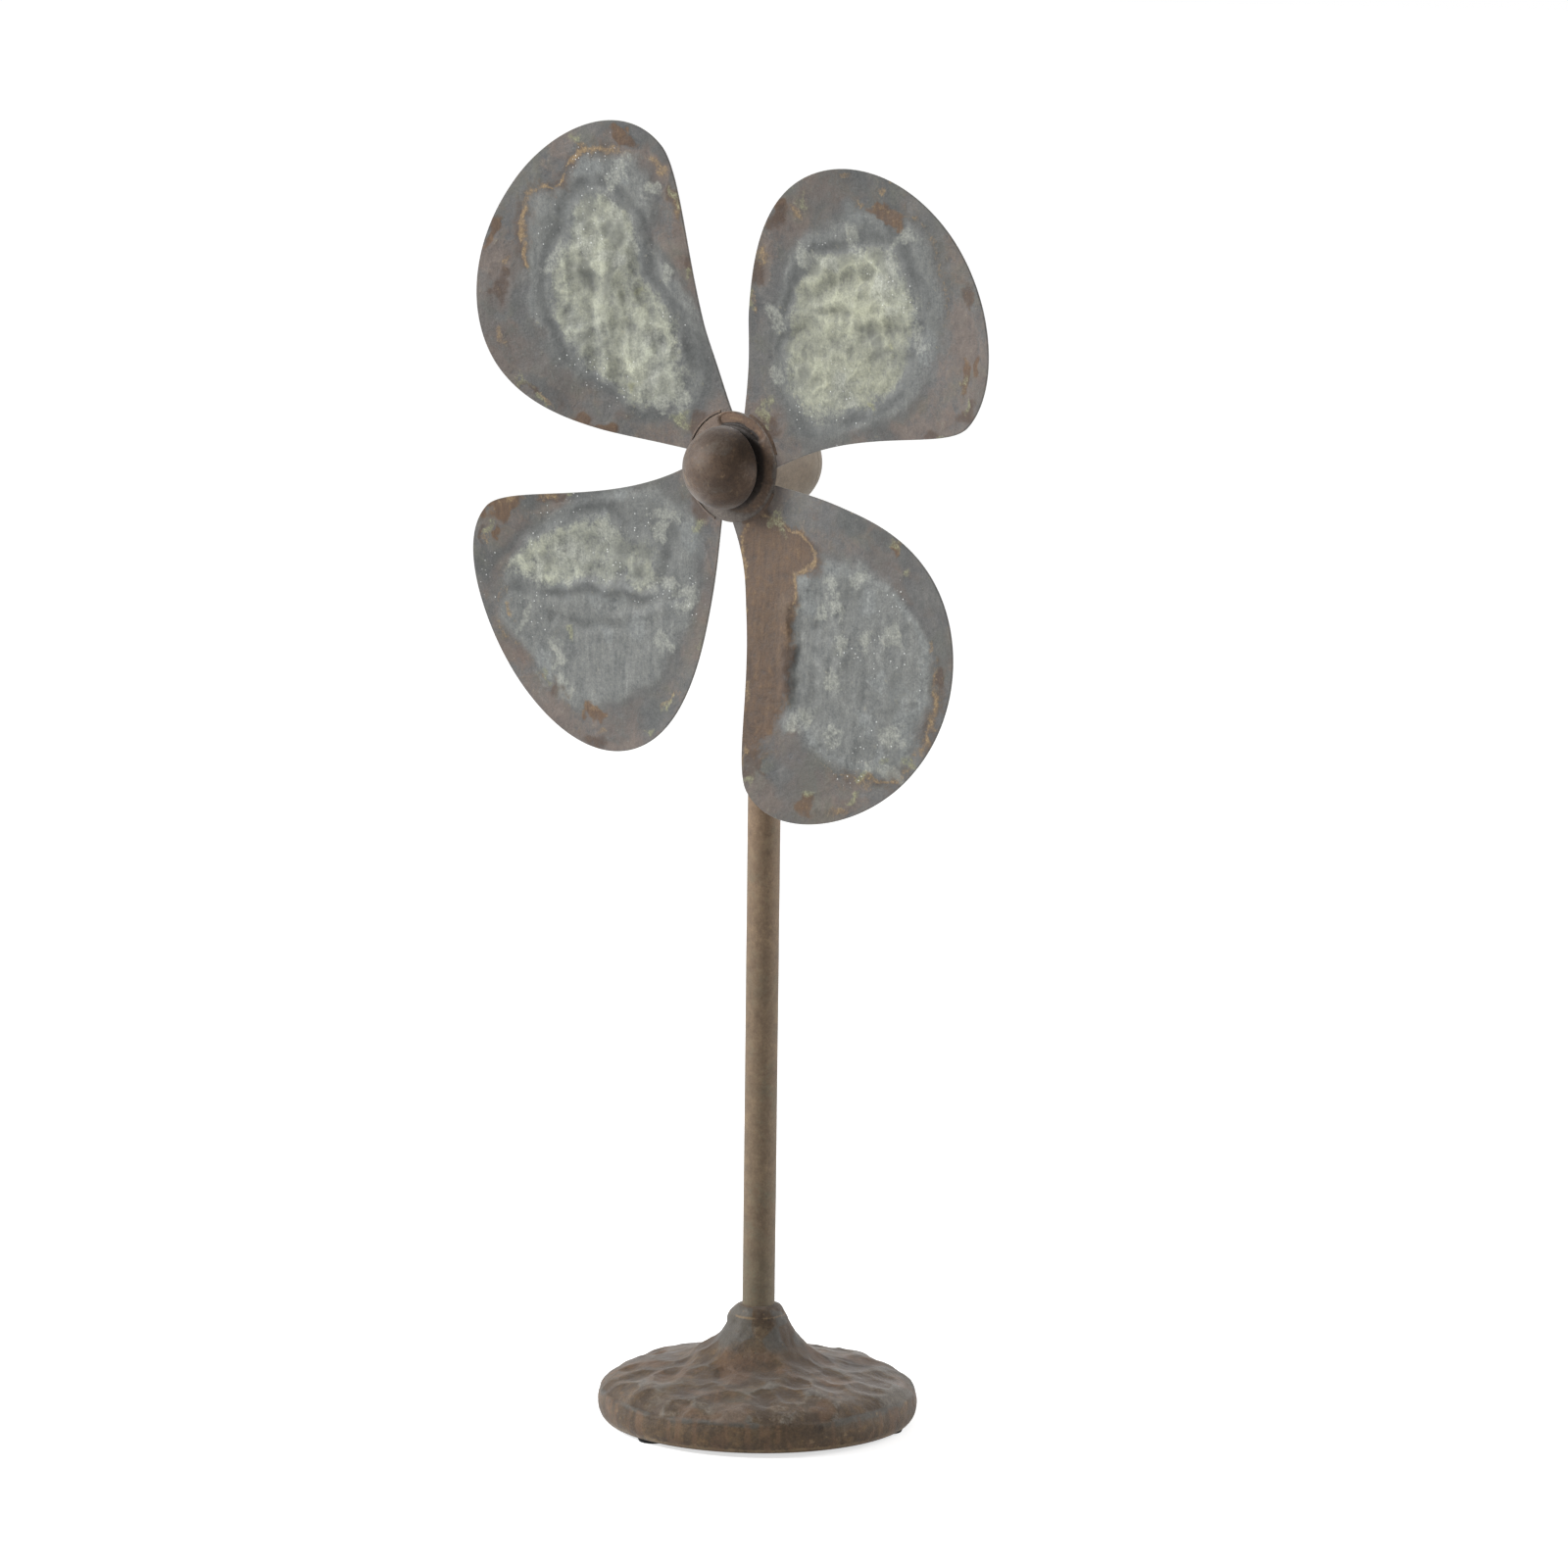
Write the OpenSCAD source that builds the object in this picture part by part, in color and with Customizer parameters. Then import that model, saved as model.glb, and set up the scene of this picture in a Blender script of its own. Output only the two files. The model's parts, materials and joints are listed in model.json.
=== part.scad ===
// Garden windmill: a four-blade sheet-metal rotor on a short bearing head,
// a plain round post and a round cast base that rises to a central boss.
// Frame: origin on the post axis at floor level, +Z up, rotor nose towards -Y.
// Lengths in millimetres, angles in degrees.

/* [Overall] */
// Height of the rotor axis above the floor
hub_height = 592; // [450:1:900]
// Length of a blade, rotor axis to tip
rotor_radius = 226; // [180:1:300]

/* [Base] */
// Outer radius of the cast base at its widest
base_radius = 98.3; // [85:0.1:130]
// Width of the solid rim under the casting, where the feet sit
base_wall = 22; // [20:1:26]
// Height of the rolled rim above the casting's lower edge
rim_h = 23; // [18:0.5:27]
// Radius at which the top starts to rise into the boss
rise_r = 42; // [36:0.5:48]
// Height of that place above the casting's lower edge
rise_h = 37.5; // [34:0.5:42]
// Radius of the boss near its top
neck_r = 18.5; // [17:0.5:22]
// Height of that place above the casting's lower edge
neck_h = 60; // [56:0.5:63]
// Height of the casting's lower edge above the floor
base_gap = 3; // [2:0.5:6]
// Number of rubber feet
foot_count = 3; // [3:1:5]
// Direction of the first foot, seen from above
foot_angle = 259; // [0:1:359]
// Distance of the feet from the post axis
foot_ring = 84.5; // [60:0.5:90]

/* [Post] */
// Outside diameter of the post tube
post_d = 20; // [16:0.5:28]
// Wall thickness of the post tube
post_wall = 2; // [1.2:0.1:3]
// Height of the lower end of the post above the floor
post_foot = 32; // [26:1:45]

/* [Bearing head] */
// Outside radius of the bearing head
head_r = 28.4; // [24:0.1:34]
// Forward face of the head, in front of the post axis
head_front = 29; // [24:0.5:36]
// Centre of the rounded rear end, behind the post axis
head_back = 7; // [4:0.5:12]
// Wall thickness of the head
head_wall = 4; // [3:0.5:6]

/* [Rotor] */
// Diameter of the axle
axle_d = 8; // [6:0.5:12]
// Radial running clearance between axle and bushes
running = 0.05; // [0.02:0.01:0.1]
// Radius of the round hub plate
plate_r = 33.5; // [28:0.5:45]
// Thickness of the hub plate
plate_t = 2.5; // [1.5:0.1:5]
// Outside radius of the nose dome
nose_r = 25; // [18:0.5:32]
// Distance from the hub plate to the rim of the nose dome
nose_gap = 5.8; // [3:0.1:10]
// Thickness of the blade sheet
sheet_t = 1.5; // [0.8:0.1:2.5]
// Radius of the cup bent across each blade
cup_r = 490; // [250:1:900]
// Angle of the top left blade, counted from the right as seen from the front
angle_top_left = 132; // [128:0.5:137]
// Angle of the top right blade
angle_top_right = 42; // [38:0.5:46]
// Angle of the bottom left blade
angle_bottom_left = 222; // [218:0.5:226]
// Angle of the bottom right blade
angle_bottom_right = 310; // [306:0.5:315]
// Forward bend of the top left blade at the hub plate
bend_top_left = 7; // [-4:0.5:8]
// Forward bend of the top right blade
bend_top_right = 6.5; // [-4:0.5:8]
// Forward bend of the bottom left blade
bend_bottom_left = -3; // [-4:0.5:8]
// Forward bend of the bottom right blade
bend_bottom_right = 5; // [-4:0.5:8]

/* [Blade outline] */
// Distance from the axis to the blade root
root_at = 22; // [20:0.5:26]
// Reach of the root below the blade axis
root_low = 20; // [14:0.5:22]
// Reach of the root above the blade axis
root_high = 14; // [10:0.5:18]
// Angle at which the lower edge leaves the root
flare_low = 14; // [8:1:25]
// Angle at which the upper edge leaves the root
flare_high = 41; // [30:1:48]
// Distance from the axis to the widest place of the lower half
low_at = 166; // [150:1:180]
// Reach of the lower half below the blade axis
low_w = 100; // [80:0.5:104]
// Distance from the axis to the widest place of the upper half
high_at = 146; // [130:1:165]
// Reach of the upper half above the blade axis
high_w = 88; // [70:0.5:92]
// Distance of the tip below the blade axis
tip_drop = 10; // [0:0.5:20]
// Roundness of the lower half of the tip
tip_low = 44; // [30:1:55]
// Roundness of the upper half of the tip
tip_high = 58; // [40:1:65]

/* [Hidden] */
$fn = 96;

over = 1;                // a cutter runs this far past the face it opens
post_r = post_d / 2;
post_top = hub_height - 10;
axle_r = axle_d / 2;

// ---- helpers -------------------------------------------------------------

// Point at t (0 to 1) on the cubic curve from start to finish that leaves
// towards leave and arrives from arrive.
function bezier(start, leave, arrive, finish, t) =
    let (q = 1 - t)
    q*q*q*start + 3*q*q*t*leave + 3*q*t*t*arrive + t*t*t*finish;

// Smooth step from 0 to 1.
function ease(x) = let (c = max(0, min(1, x))) c * c * (3 - 2*c);

// Two triangles that fill the quadrilateral a, b, c, d.
function quad(a, b, c, d) = [[a, b, c], [a, c, d]];

// Children are drawn with +Z forward along the rotor axis, zero at the post.
module on_axis(forward_by = 0) {
    translate([0, -forward_by, hub_height]) rotate([90, 0, 0]) children();
}

module up(z) {
    translate([0, 0, z]) children();
}

module hex_prism(flats, h) {
    cylinder(d = flats / cos(30), h = h, $fn = 6);
}

module through_hole(r, h) {
    up(-over) cylinder(r = r, h = h + 2*over);
}

module tube(r_out, r_in, h) {
    difference() {
        cylinder(r = r_out, h = h);
        through_hole(r_in, h);
    }
}

module hex_nut(flats, r_in, h) {
    difference() {
        hex_prism(flats, h);
        through_hole(r_in, h);
    }
}

// ---- base ----------------------------------------------------------------

web_bottom = post_foot - 8;           // underside of the web that carries the post
bolt_hole_r = 5.25;
washer_recess_r = 15;                 // recess under the web
recess_depth = 4;
web_skirt_r = 24;                     // outside of the ring around that recess
hollow_r = base_radius * 95 / 98.3 - base_wall;

foot_r = 9;
foot_chamfer = 1;
foot_pin_r = 3;

flat_washer_t = 2;
lock_washer_t = 2.6;
flat_washer_z = web_bottom - flat_washer_t;
lock_washer_z = flat_washer_z - lock_washer_t;
bolt_head_h = 6.4;

// Places on the casting's top, [radius, height above its lower edge].
rim_at = [base_radius - 6.3, rim_h];
rise_at = [rise_r, rise_h];
neck_at = [neck_r, neck_h];
lip_at = [post_r + 0.9, 70.2];

// Points 0 to last of a curve cut into steps, raised to the casting's lower edge.
function raised_curve(start, leave, arrive, finish, steps, last) =
    [for (i = [0:last]) [0, base_gap] + bezier(start, leave, arrive, finish, i / steps)];

// Upper outline of the casting as [radius, height], foot to boss: rolled rim,
// shallow shoulder, hollow rise and domed boss, one curve each.
casting_top = concat(
    raised_curve([base_radius - 3.3, 0], [base_radius + 1.8, 5], rim_at + [7.8, -6], rim_at, 8, 7),
    raised_curve(rim_at, rim_at + [-7, 5.5], rise_at + [16, -6.5], rise_at, 8, 7),
    raised_curve(rise_at, rise_at + [-15, 6], neck_at + [2.5, -5], neck_at, 8, 7),
    raised_curve(neck_at, neck_at + [-1.5, 4], lip_at + [4.1, -1.7], lip_at, 6, 6));

// Post socket, bolt hole and underside as [radius, height], boss to lower edge.
casting_under = [
    [post_r, base_gap + lip_at[1]], [post_r, post_foot],
    [bolt_hole_r, post_foot], [bolt_hole_r, web_bottom],
    [washer_recess_r, web_bottom], [washer_recess_r, web_bottom - recess_depth],
    [web_skirt_r, web_bottom - recess_depth], [web_skirt_r, base_gap + 24],
    [hollow_r - 12, base_gap + 19], [hollow_r, base_gap + 8], [hollow_r, base_gap]];

module each_foot() {
    for (i = [0:foot_count - 1])
        rotate([0, 0, foot_angle + i * 360 / foot_count])
            translate([foot_ring, 0, 0]) children();
}

// Hollow round casting with a raised central boss that takes the post.
module base_casting() {
    color([0.33, 0.22, 0.16])
    difference() {
        rotate_extrude() polygon(concat(casting_top, casting_under));
        each_foot() up(base_gap - over) cylinder(r = foot_pin_r, h = 10);
    }
}

// Pressed-in rubber feet, chamfered at the floor.
module rubber_feet() {
    color([0.05, 0.05, 0.05])
    each_foot() {
        cylinder(r1 = foot_r - 1, r2 = foot_r, h = foot_chamfer);
        up(foot_chamfer) cylinder(r = foot_r, h = base_gap - foot_chamfer);
        up(base_gap - 0.5) cylinder(r = foot_pin_r, h = 8);
    }
}

// Hexagon bolt that pulls the post into its socket from below.
module base_bolt() {
    color([0.45, 0.43, 0.40])
    union() {
        up(lock_washer_z - bolt_head_h) hex_prism(17, bolt_head_h);
        up(lock_washer_z - 0.5) cylinder(r = 5, h = 33);
    }
}

module base_lock_washer() {
    color([0.55, 0.54, 0.52])
    up(lock_washer_z) tube(8.6, 5.2, lock_washer_t);
}

module base_flat_washer() {
    color([0.50, 0.49, 0.47])
    up(flat_washer_z) tube(14, bolt_hole_r, flat_washer_t);
}

// ---- post ----------------------------------------------------------------

post_bore_r = post_r - post_wall;
set_screw_r = 3;
set_screw_z = hub_height - 19;

// Steel plug in the lower end of the post tube, with a blind hole from below.
module post_plug() {
    color([0.40, 0.36, 0.33])
    up(post_foot)
    difference() {
        cylinder(r = post_bore_r, h = 30);
        up(-over) cylinder(r = 5, h = 26);
    }
}

module post_tube() {
    color([0.36, 0.27, 0.21])
    up(post_foot) tube(post_r, post_bore_r, post_top - post_foot);
}

// Socket set screw that clamps the head on the post, pointing to -X.
module post_set_screw() {
    color([0.20, 0.20, 0.20])
    translate([-post_r, 0, set_screw_z]) rotate([0, -90, 0])
    difference() {
        cylinder(r = set_screw_r, h = 9);
        up(5.5) hex_prism(3, 4);
    }
}

// ---- bearing head --------------------------------------------------------

cap_seam = 14;                        // seam between head and rear cap, behind the post
head_bore_r = head_r - head_wall;
socket_r = 13.5;                      // outside of the post socket
post_hole_h = 30;
bush_r = 6;
bush_flange_r = 9;
bush_flange_t = 1.5;
cap_reach = 40;                       // trimming cylinders start this far behind the post

// Ball that rounds the rear of the head and of the cap.
module rear_ball(r) {
    on_axis(-head_back) sphere(r = r);
}

// Bullet-shaped bearing head, open behind, with bush tube and post socket.
module head_housing() {
    color([0.34, 0.24, 0.18])
    difference() {
        union() {
            difference() {
                union() {
                    on_axis(-head_back) cylinder(r = head_r, h = head_front + head_back);
                    intersection() {
                        rear_ball(head_r);
                        on_axis(-cap_seam) cylinder(r = head_r + 1, h = cap_seam - head_back + 1);
                    }
                }
                on_axis(-cap_seam - over)
                    cylinder(r = head_bore_r, h = head_front + cap_seam + over - head_wall);
            }
            // tube that carries both bushes
            on_axis(-cap_seam) cylinder(r = bush_r + 4, h = cap_seam + head_front - 1);
            // socket for the post
            intersection() {
                up(hub_height - head_r + 0.5) cylinder(r = socket_r, h = head_r - 4);
                on_axis(-head_back - 9) cylinder(r = head_r - 0.2, h = 40);
            }
        }
        on_axis(-40) cylinder(r = bush_r, h = 80);
        up(post_top - post_hole_h) cylinder(r = post_r, h = post_hole_h);
        // hole for the set screw
        up(set_screw_z) rotate([0, -90, 0]) cylinder(r = set_screw_r, h = 40);
    }
}

// Flanged plain bush; places are measured forward along the rotor axis.
module bush(barrel_at, barrel_h, flange_at, bore_at) {
    on_axis() difference() {
        union() {
            up(barrel_at) cylinder(r = bush_r, h = barrel_h);
            up(flange_at) cylinder(r = bush_flange_r, h = bush_flange_t);
        }
        up(bore_at) cylinder(r = axle_r + running, h = 60);
    }
}

module front_bush() {
    color([0.55, 0.42, 0.22])
    bush(barrel_at = 14, barrel_h = head_front - 14 + 0.2, flange_at = head_front, bore_at = 0);
}

module rear_bush() {
    color([0.55, 0.42, 0.22])
    bush(barrel_at = -cap_seam - 0.2, barrel_h = 12.2,
         flange_at = -cap_seam - bush_flange_t, bore_at = -30);
}

// Domed rear cap with a spigot that presses into the head.
module rear_cap() {
    color([0.33, 0.23, 0.17])
    difference() {
        union() {
            intersection() {
                rear_ball(head_r);
                on_axis(-cap_reach) cylinder(r = 40, h = cap_reach - cap_seam);
            }
            difference() {
                on_axis(-cap_seam - 1) cylinder(r = head_bore_r, h = 5);
                // room for the post socket
                up(hub_height - 40) cylinder(r = socket_r + 0.3, h = 40);
            }
        }
        on_axis(-cap_seam - 2) cylinder(r = head_bore_r - 2, h = 8);
        intersection() {
            rear_ball(head_r - 2.4);
            on_axis(-cap_reach) cylinder(r = 22, h = cap_reach - cap_seam + over);
        }
    }
}

// ---- axle and hub --------------------------------------------------------

// Places along the rotor axis, measured forward from the post.
end_play = 0.05;
collar_back = head_front + bush_flange_t + end_play;
plate_back = 35;
plate_front = plate_back + plate_t;
axle_back = 27;                       // reach of the axle behind the post
axle_front = 60;
rear_washer_t = 1.5;
rear_washer_at = -cap_seam - bush_flange_t - end_play - rear_washer_t;
rear_nut_h = 8;
front_washer_t = 1.6;
front_nut_at = plate_front + front_washer_t;
front_nut_h = 6.5;

nut_flats = 13;
washer_bore_r = axle_r + 0.2;

// The plate's front edge is rounded in two steps.
edge_low_h = 0.9;
edge_low_inset = 0.5;
edge_top_h = 0.6;
edge_top_inset = 1.5;
edge_h = edge_low_h + edge_top_h;

weld_span = 52;                       // angle of one weld about the rotor axis

// Axle with a turned shoulder behind the hub plate.
module axle() {
    color([0.48, 0.46, 0.44])
    on_axis() union() {
        up(-axle_back) cylinder(r = axle_r, h = axle_back + axle_front);
        up(collar_back) cylinder(r = 11, h = plate_back - collar_back);
    }
}

module rear_thrust_washer() {
    color([0.52, 0.50, 0.48])
    on_axis(rear_washer_at) tube(8, washer_bore_r, rear_washer_t);
}

module rear_nut() {
    color([0.50, 0.48, 0.45])
    on_axis(rear_washer_at - rear_nut_h) hex_nut(nut_flats, axle_r, rear_nut_h);
}

// Round plate with a rolled front edge; the blades are fixed behind it.
module hub_plate() {
    color([0.37, 0.25, 0.18])
    on_axis(plate_back) difference() {
        union() {
            cylinder(r = plate_r, h = plate_t - edge_h);
            up(plate_t - edge_h)
                cylinder(r1 = plate_r, r2 = plate_r - edge_low_inset, h = edge_low_h);
            up(plate_t - edge_top_h)
                cylinder(r1 = plate_r - edge_low_inset, r2 = plate_r - edge_top_inset,
                         h = edge_top_h);
        }
        up(-over) cylinder(r = axle_r, h = 10);
    }
}

// Fillet welds between the edge of the hub plate and each blade.
module blade_welds() {
    color([0.30, 0.20, 0.15])
    for (angle = [angle_top_left, angle_top_right, angle_bottom_left, angle_bottom_right])
        on_axis(plate_back) rotate([0, 0, angle - weld_span / 2])
            rotate_extrude(angle = weld_span)
                polygon([[plate_r, 0], [plate_r + 1.6, 0], [plate_r, 1]]);
}

module front_washer() {
    color([0.42, 0.36, 0.30])
    on_axis(plate_front) tube(12, washer_bore_r, front_washer_t);
}

module front_nut() {
    color([0.40, 0.34, 0.28])
    on_axis(front_nut_at) hex_nut(nut_flats, axle_r, front_nut_h);
}

// Hollow half-ball nose with a central boss over the end of the axle.
module nose_dome() {
    rim = plate_front + nose_gap;
    boss_back = front_nut_at + front_nut_h;
    color([0.36, 0.25, 0.19])
    on_axis() difference() {
        union() {
            difference() {
                intersection() {
                    up(rim) sphere(r = nose_r);
                    up(rim) cylinder(r = nose_r + 1, h = nose_r + 1);
                }
                up(rim) sphere(r = nose_r - 1.8);
            }
            up(boss_back) cylinder(r = 7, h = rim + nose_r - 1.2 - boss_back);
        }
        up(plate_back) cylinder(r = axle_r, h = 26);
    }
}

// ---- blades --------------------------------------------------------------

// Each blade is drawn along +X with its front towards +Z; "above" is +Y.
blade_mid = plate_back - 0.05 - sheet_t / 2;  // middle of the flat root, forward of the post
drawn_length = 226;                   // blade length for which the outline is drawn
fixed_length = 40;                    // stays unstretched when the blade length changes
flat_r = plate_r + 3;                 // the sheet is flat up to here
ease_length = 40;                     // bend and cup build up over this distance
tip_end = 0.9;                        // the edges stop here and the tip is closed between them
tip_bulge = 1;
rows = 44;                            // root to tip
cols = 16;                            // lower to upper edge

// Point [distance from the axis, across] of an edge at u (root 0, tip 1). It
// reaches its widest place at u = part. Each pull sets a curve's handle.
function edge_point(u, part, root, root_pull, widest, pull_in, pull_out, tip_pull) =
    let (tip = [drawn_length, -tip_drop])
    u < part
    ? bezier(root, root + root_pull, widest - [pull_in, 0], widest, u / part)
    : bezier(widest, widest + [pull_out, 0], tip + [0, tip_pull], tip,
             tip_end * (u - part) / (1 - part));

function low_edge(u) =
    edge_point(u, part = 0.6, root = [root_at, -root_low],
               root_pull = 70 * [cos(flare_low), -sin(flare_low)],
               widest = [low_at, -low_w], pull_in = 24, pull_out = 34, tip_pull = -tip_low);

function high_edge(u) =
    edge_point(u, part = 0.52, root = [root_at + 1, root_high],
               root_pull = 55 * [cos(flare_high), sin(flare_high)],
               widest = [high_at, high_w], pull_in = 42, pull_out = 42, tip_pull = tip_high);

function stretched(along) = along < fixed_length
    ? along
    : fixed_length + (along - fixed_length)
        * (rotor_radius - fixed_length) / (drawn_length - fixed_length);

// Forward offset of the sheet from its bend and its cup.
function forward(along, across, bend) =
    let (past = along - flat_r, e = ease(past / ease_length))
    max(0, past) * tan(bend) * (0.25 + 0.75*e) + e * across*across / (2 * cup_r);

// Point of the sheet at row i, column j; side is -1 for the back, 1 for the front.
function sheet_point(i, j, bend, side) =
    let (u = i / rows, v = j / cols, low = low_edge(u),
         flat = low + (high_edge(u) - low) * v,
         bulge = tip_bulge * pow(u, 8) * 4 * v * (1 - v),
         along = stretched(flat[0] + bulge))
    [along, flat[1] * rotor_radius / drawn_length,
     forward(along, flat[1], bend) + side * sheet_t / 2];

// One cupped sheet-metal blade.
module blade_sheet(bend) {
    m = cols + 1;                     // points in a row
    n = (rows + 1) * m;               // points on a side, first index of the front
    points = [for (side = [-1, 1]) for (i = [0:rows]) for (j = [0:cols])
              sheet_point(i, j, bend, side)];
    faces = [
        // front and back
        for (i = [0:rows - 1]) for (j = [0:cols - 1])
            let (p = i*m + j, q = p + m)
            each concat(quad(n + p, n + p + 1, n + q + 1, n + q), quad(p, q, q + 1, p + 1)),
        // lower and upper edge
        for (i = [0:rows - 1])
            let (p = i*m, q = p + cols)
            each concat(quad(p, n + p, n + p + m, p + m), quad(q, q + m, n + q + m, n + q)),
        // root and tip
        for (j = [0:cols - 1])
            let (t = rows*m + j)
            each concat(quad(j, j + 1, n + j + 1, n + j), quad(t, n + t, n + t + 1, t + 1))];
    polyhedron(points = points, faces = faces, convexity = 6);
}

module placed_blade(angle, bend) {
    on_axis(blade_mid) rotate([0, 0, angle]) blade_sheet(bend);
}

module blade_top_left() {
    color([0.52, 0.50, 0.45]) placed_blade(angle_top_left, bend_top_left);
}

module blade_top_right() {
    color([0.50, 0.48, 0.43]) placed_blade(angle_top_right, bend_top_right);
}

module blade_bottom_left() {
    color([0.51, 0.49, 0.44]) placed_blade(angle_bottom_left, bend_bottom_left);
}

module blade_bottom_right() {
    color([0.49, 0.47, 0.42]) placed_blade(angle_bottom_right, bend_bottom_right);
}

base_casting();
rubber_feet();
base_bolt();
base_lock_washer();
base_flat_washer();
post_plug();
post_tube();
post_set_screw();
head_housing();
front_bush();
rear_bush();
rear_cap();
axle();
rear_thrust_washer();
rear_nut();
hub_plate();
blade_welds();
blade_top_left();
blade_top_right();
blade_bottom_left();
blade_bottom_right();
front_washer();
front_nut();
nose_dome();
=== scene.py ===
# A rotor of four cupped sheet blades on a tall post, which stands in a round casting on rubber feet.
# The post runs up the Z axis from the floor at z = 0. The rotor axis lies along Y at height HUB_Z,
# with the nose towards -Y. Sizes are in millimetres unless a name or comment says otherwise.
import json
import math

import bpy
import numpy as np
from mathutils import Matrix, Vector


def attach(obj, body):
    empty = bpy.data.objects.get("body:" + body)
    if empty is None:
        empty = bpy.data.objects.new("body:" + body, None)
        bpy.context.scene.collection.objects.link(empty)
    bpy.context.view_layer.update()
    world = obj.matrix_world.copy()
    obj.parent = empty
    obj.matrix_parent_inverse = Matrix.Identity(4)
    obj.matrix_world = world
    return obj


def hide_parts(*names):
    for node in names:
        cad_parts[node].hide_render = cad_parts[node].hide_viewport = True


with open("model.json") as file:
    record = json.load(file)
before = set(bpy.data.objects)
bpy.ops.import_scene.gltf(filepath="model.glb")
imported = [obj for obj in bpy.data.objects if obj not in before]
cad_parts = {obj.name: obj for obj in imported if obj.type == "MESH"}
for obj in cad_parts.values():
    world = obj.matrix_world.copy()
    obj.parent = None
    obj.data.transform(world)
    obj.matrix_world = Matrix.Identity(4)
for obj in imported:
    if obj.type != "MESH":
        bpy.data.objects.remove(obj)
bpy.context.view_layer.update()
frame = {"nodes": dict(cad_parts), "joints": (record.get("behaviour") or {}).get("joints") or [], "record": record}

HUB_Z = float(frame["joints"][0]["pos_m"][2])  # metres
MM = 0.001

# ---------------------------------------------------------------------------
# noise, curves and distances
# ---------------------------------------------------------------------------


def smooth(low, high, x):
    """Soft step from 0 at low to 1 at high; low may be the larger, for a fall."""
    t = np.clip((x - low) / (high - low), 0, 1)
    return t * t * (3 - 2 * t)


def hump(x, centre, width):
    """Bell curve of height 1."""
    return np.exp(-((x - centre) / width) ** 2)


def lattice(x, y, z, seed):
    """Repeatable value in 0..1 for whole-number places."""
    h = (x * 374761393 + y * 668265263 + z * 1440662683 + seed * 1274126177) & 0xFFFFFFFF
    h = ((h ^ (h >> 13)) * 1274126177) & 0xFFFFFFFF
    h = ((h ^ (h >> 15)) * 2246822519) & 0xFFFFFFFF
    h = h ^ (h >> 16)
    return (h & 0xFFFFFF) / float(0xFFFFFF)


def noise(points, size, seed):
    """Smooth lattice noise in 0..1 at points (n,3), with features about `size` across."""
    scaled = np.asarray(points, float) / size
    cell = np.floor(scaled).astype(np.int64)
    f = scaled - cell
    f = f * f * f * (f * (f * 6 - 15) + 10)
    total = np.zeros(len(scaled))
    for i in (0, 1):
        for j in (0, 1):
            for k in (0, 1):
                weight = (
                    (f[:, 0] if i else 1 - f[:, 0])
                    * (f[:, 1] if j else 1 - f[:, 1])
                    * (f[:, 2] if k else 1 - f[:, 2])
                )
                total += weight * lattice(cell[:, 0] + i, cell[:, 1] + j, cell[:, 2] + k, seed)
    return total


def clouds(points, size, octaves, seed):
    """Layers of noise in 0..1, each half the size and strength of the last."""
    total, strength, norm = 0.0, 1.0, 0.0
    for i in range(octaves):
        total = total + strength * noise(points, size / 2 ** i, seed + 17 * i)
        norm += strength
        strength *= 0.5
    return total / norm


def bezier(start, leave, arrive, end, t):
    """Curve from start to end, with its two handles, at t in 0..1."""
    start, leave, arrive, end = (np.asarray(p, float) for p in (start, leave, arrive, end))
    t = np.asarray(t, float)[:, None]
    q = 1 - t
    return q ** 3 * start + 3 * q * q * t * leave + 3 * q * t * t * arrive + t ** 3 * end


def line_distance(x, y, line, closed=False):
    """Distance from points (x, y) to a polyline, and how far along it (0..1) the nearest lies."""
    line = [tuple(map(float, p)) for p in line]
    if closed:
        line = line + [line[0]]
    best = np.full(len(x), 1e9)
    where = np.zeros(len(x))
    count = len(line) - 1
    for k in range(count):
        (ax, ay), (bx, by) = line[k], line[k + 1]
        dx, dy = bx - ax, by - ay
        t = np.clip(((x - ax) * dx + (y - ay) * dy) / (dx * dx + dy * dy + 1e-12), 0, 1)
        distance = np.hypot(x - ax - t * dx, y - ay - t * dy)
        near = distance < best
        best = np.where(near, distance, best)
        where = np.where(near, (k + t) / count, where)
    return best, where


def oval(x, y, mid_x, mid_y, half_x, half_y, turn):
    """Distance from an oval's centre, as 1 on its outline; turn in degrees."""
    c, s = math.cos(math.radians(turn)), math.sin(math.radians(turn))
    dx, dy = x - mid_x, y - mid_y
    return np.sqrt(((dx * c + dy * s) / half_x) ** 2 + ((-dx * s + dy * c) / half_y) ** 2)


def ovals(x, y, patches):
    """Rough signed distance to a group of ovals, positive inside."""
    best = np.full(len(x), -1e3)
    for patch in patches:
        best = np.maximum(best, (1 - oval(x, y, *patch)) * min(patch[2:4]))
    return best


def spot(x, y, *patch):
    """Soft oval patch: 1 at the centre, 0.5 at the edge."""
    return 1 - smooth(0.45, 1.55, oval(x, y, *patch))


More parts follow.
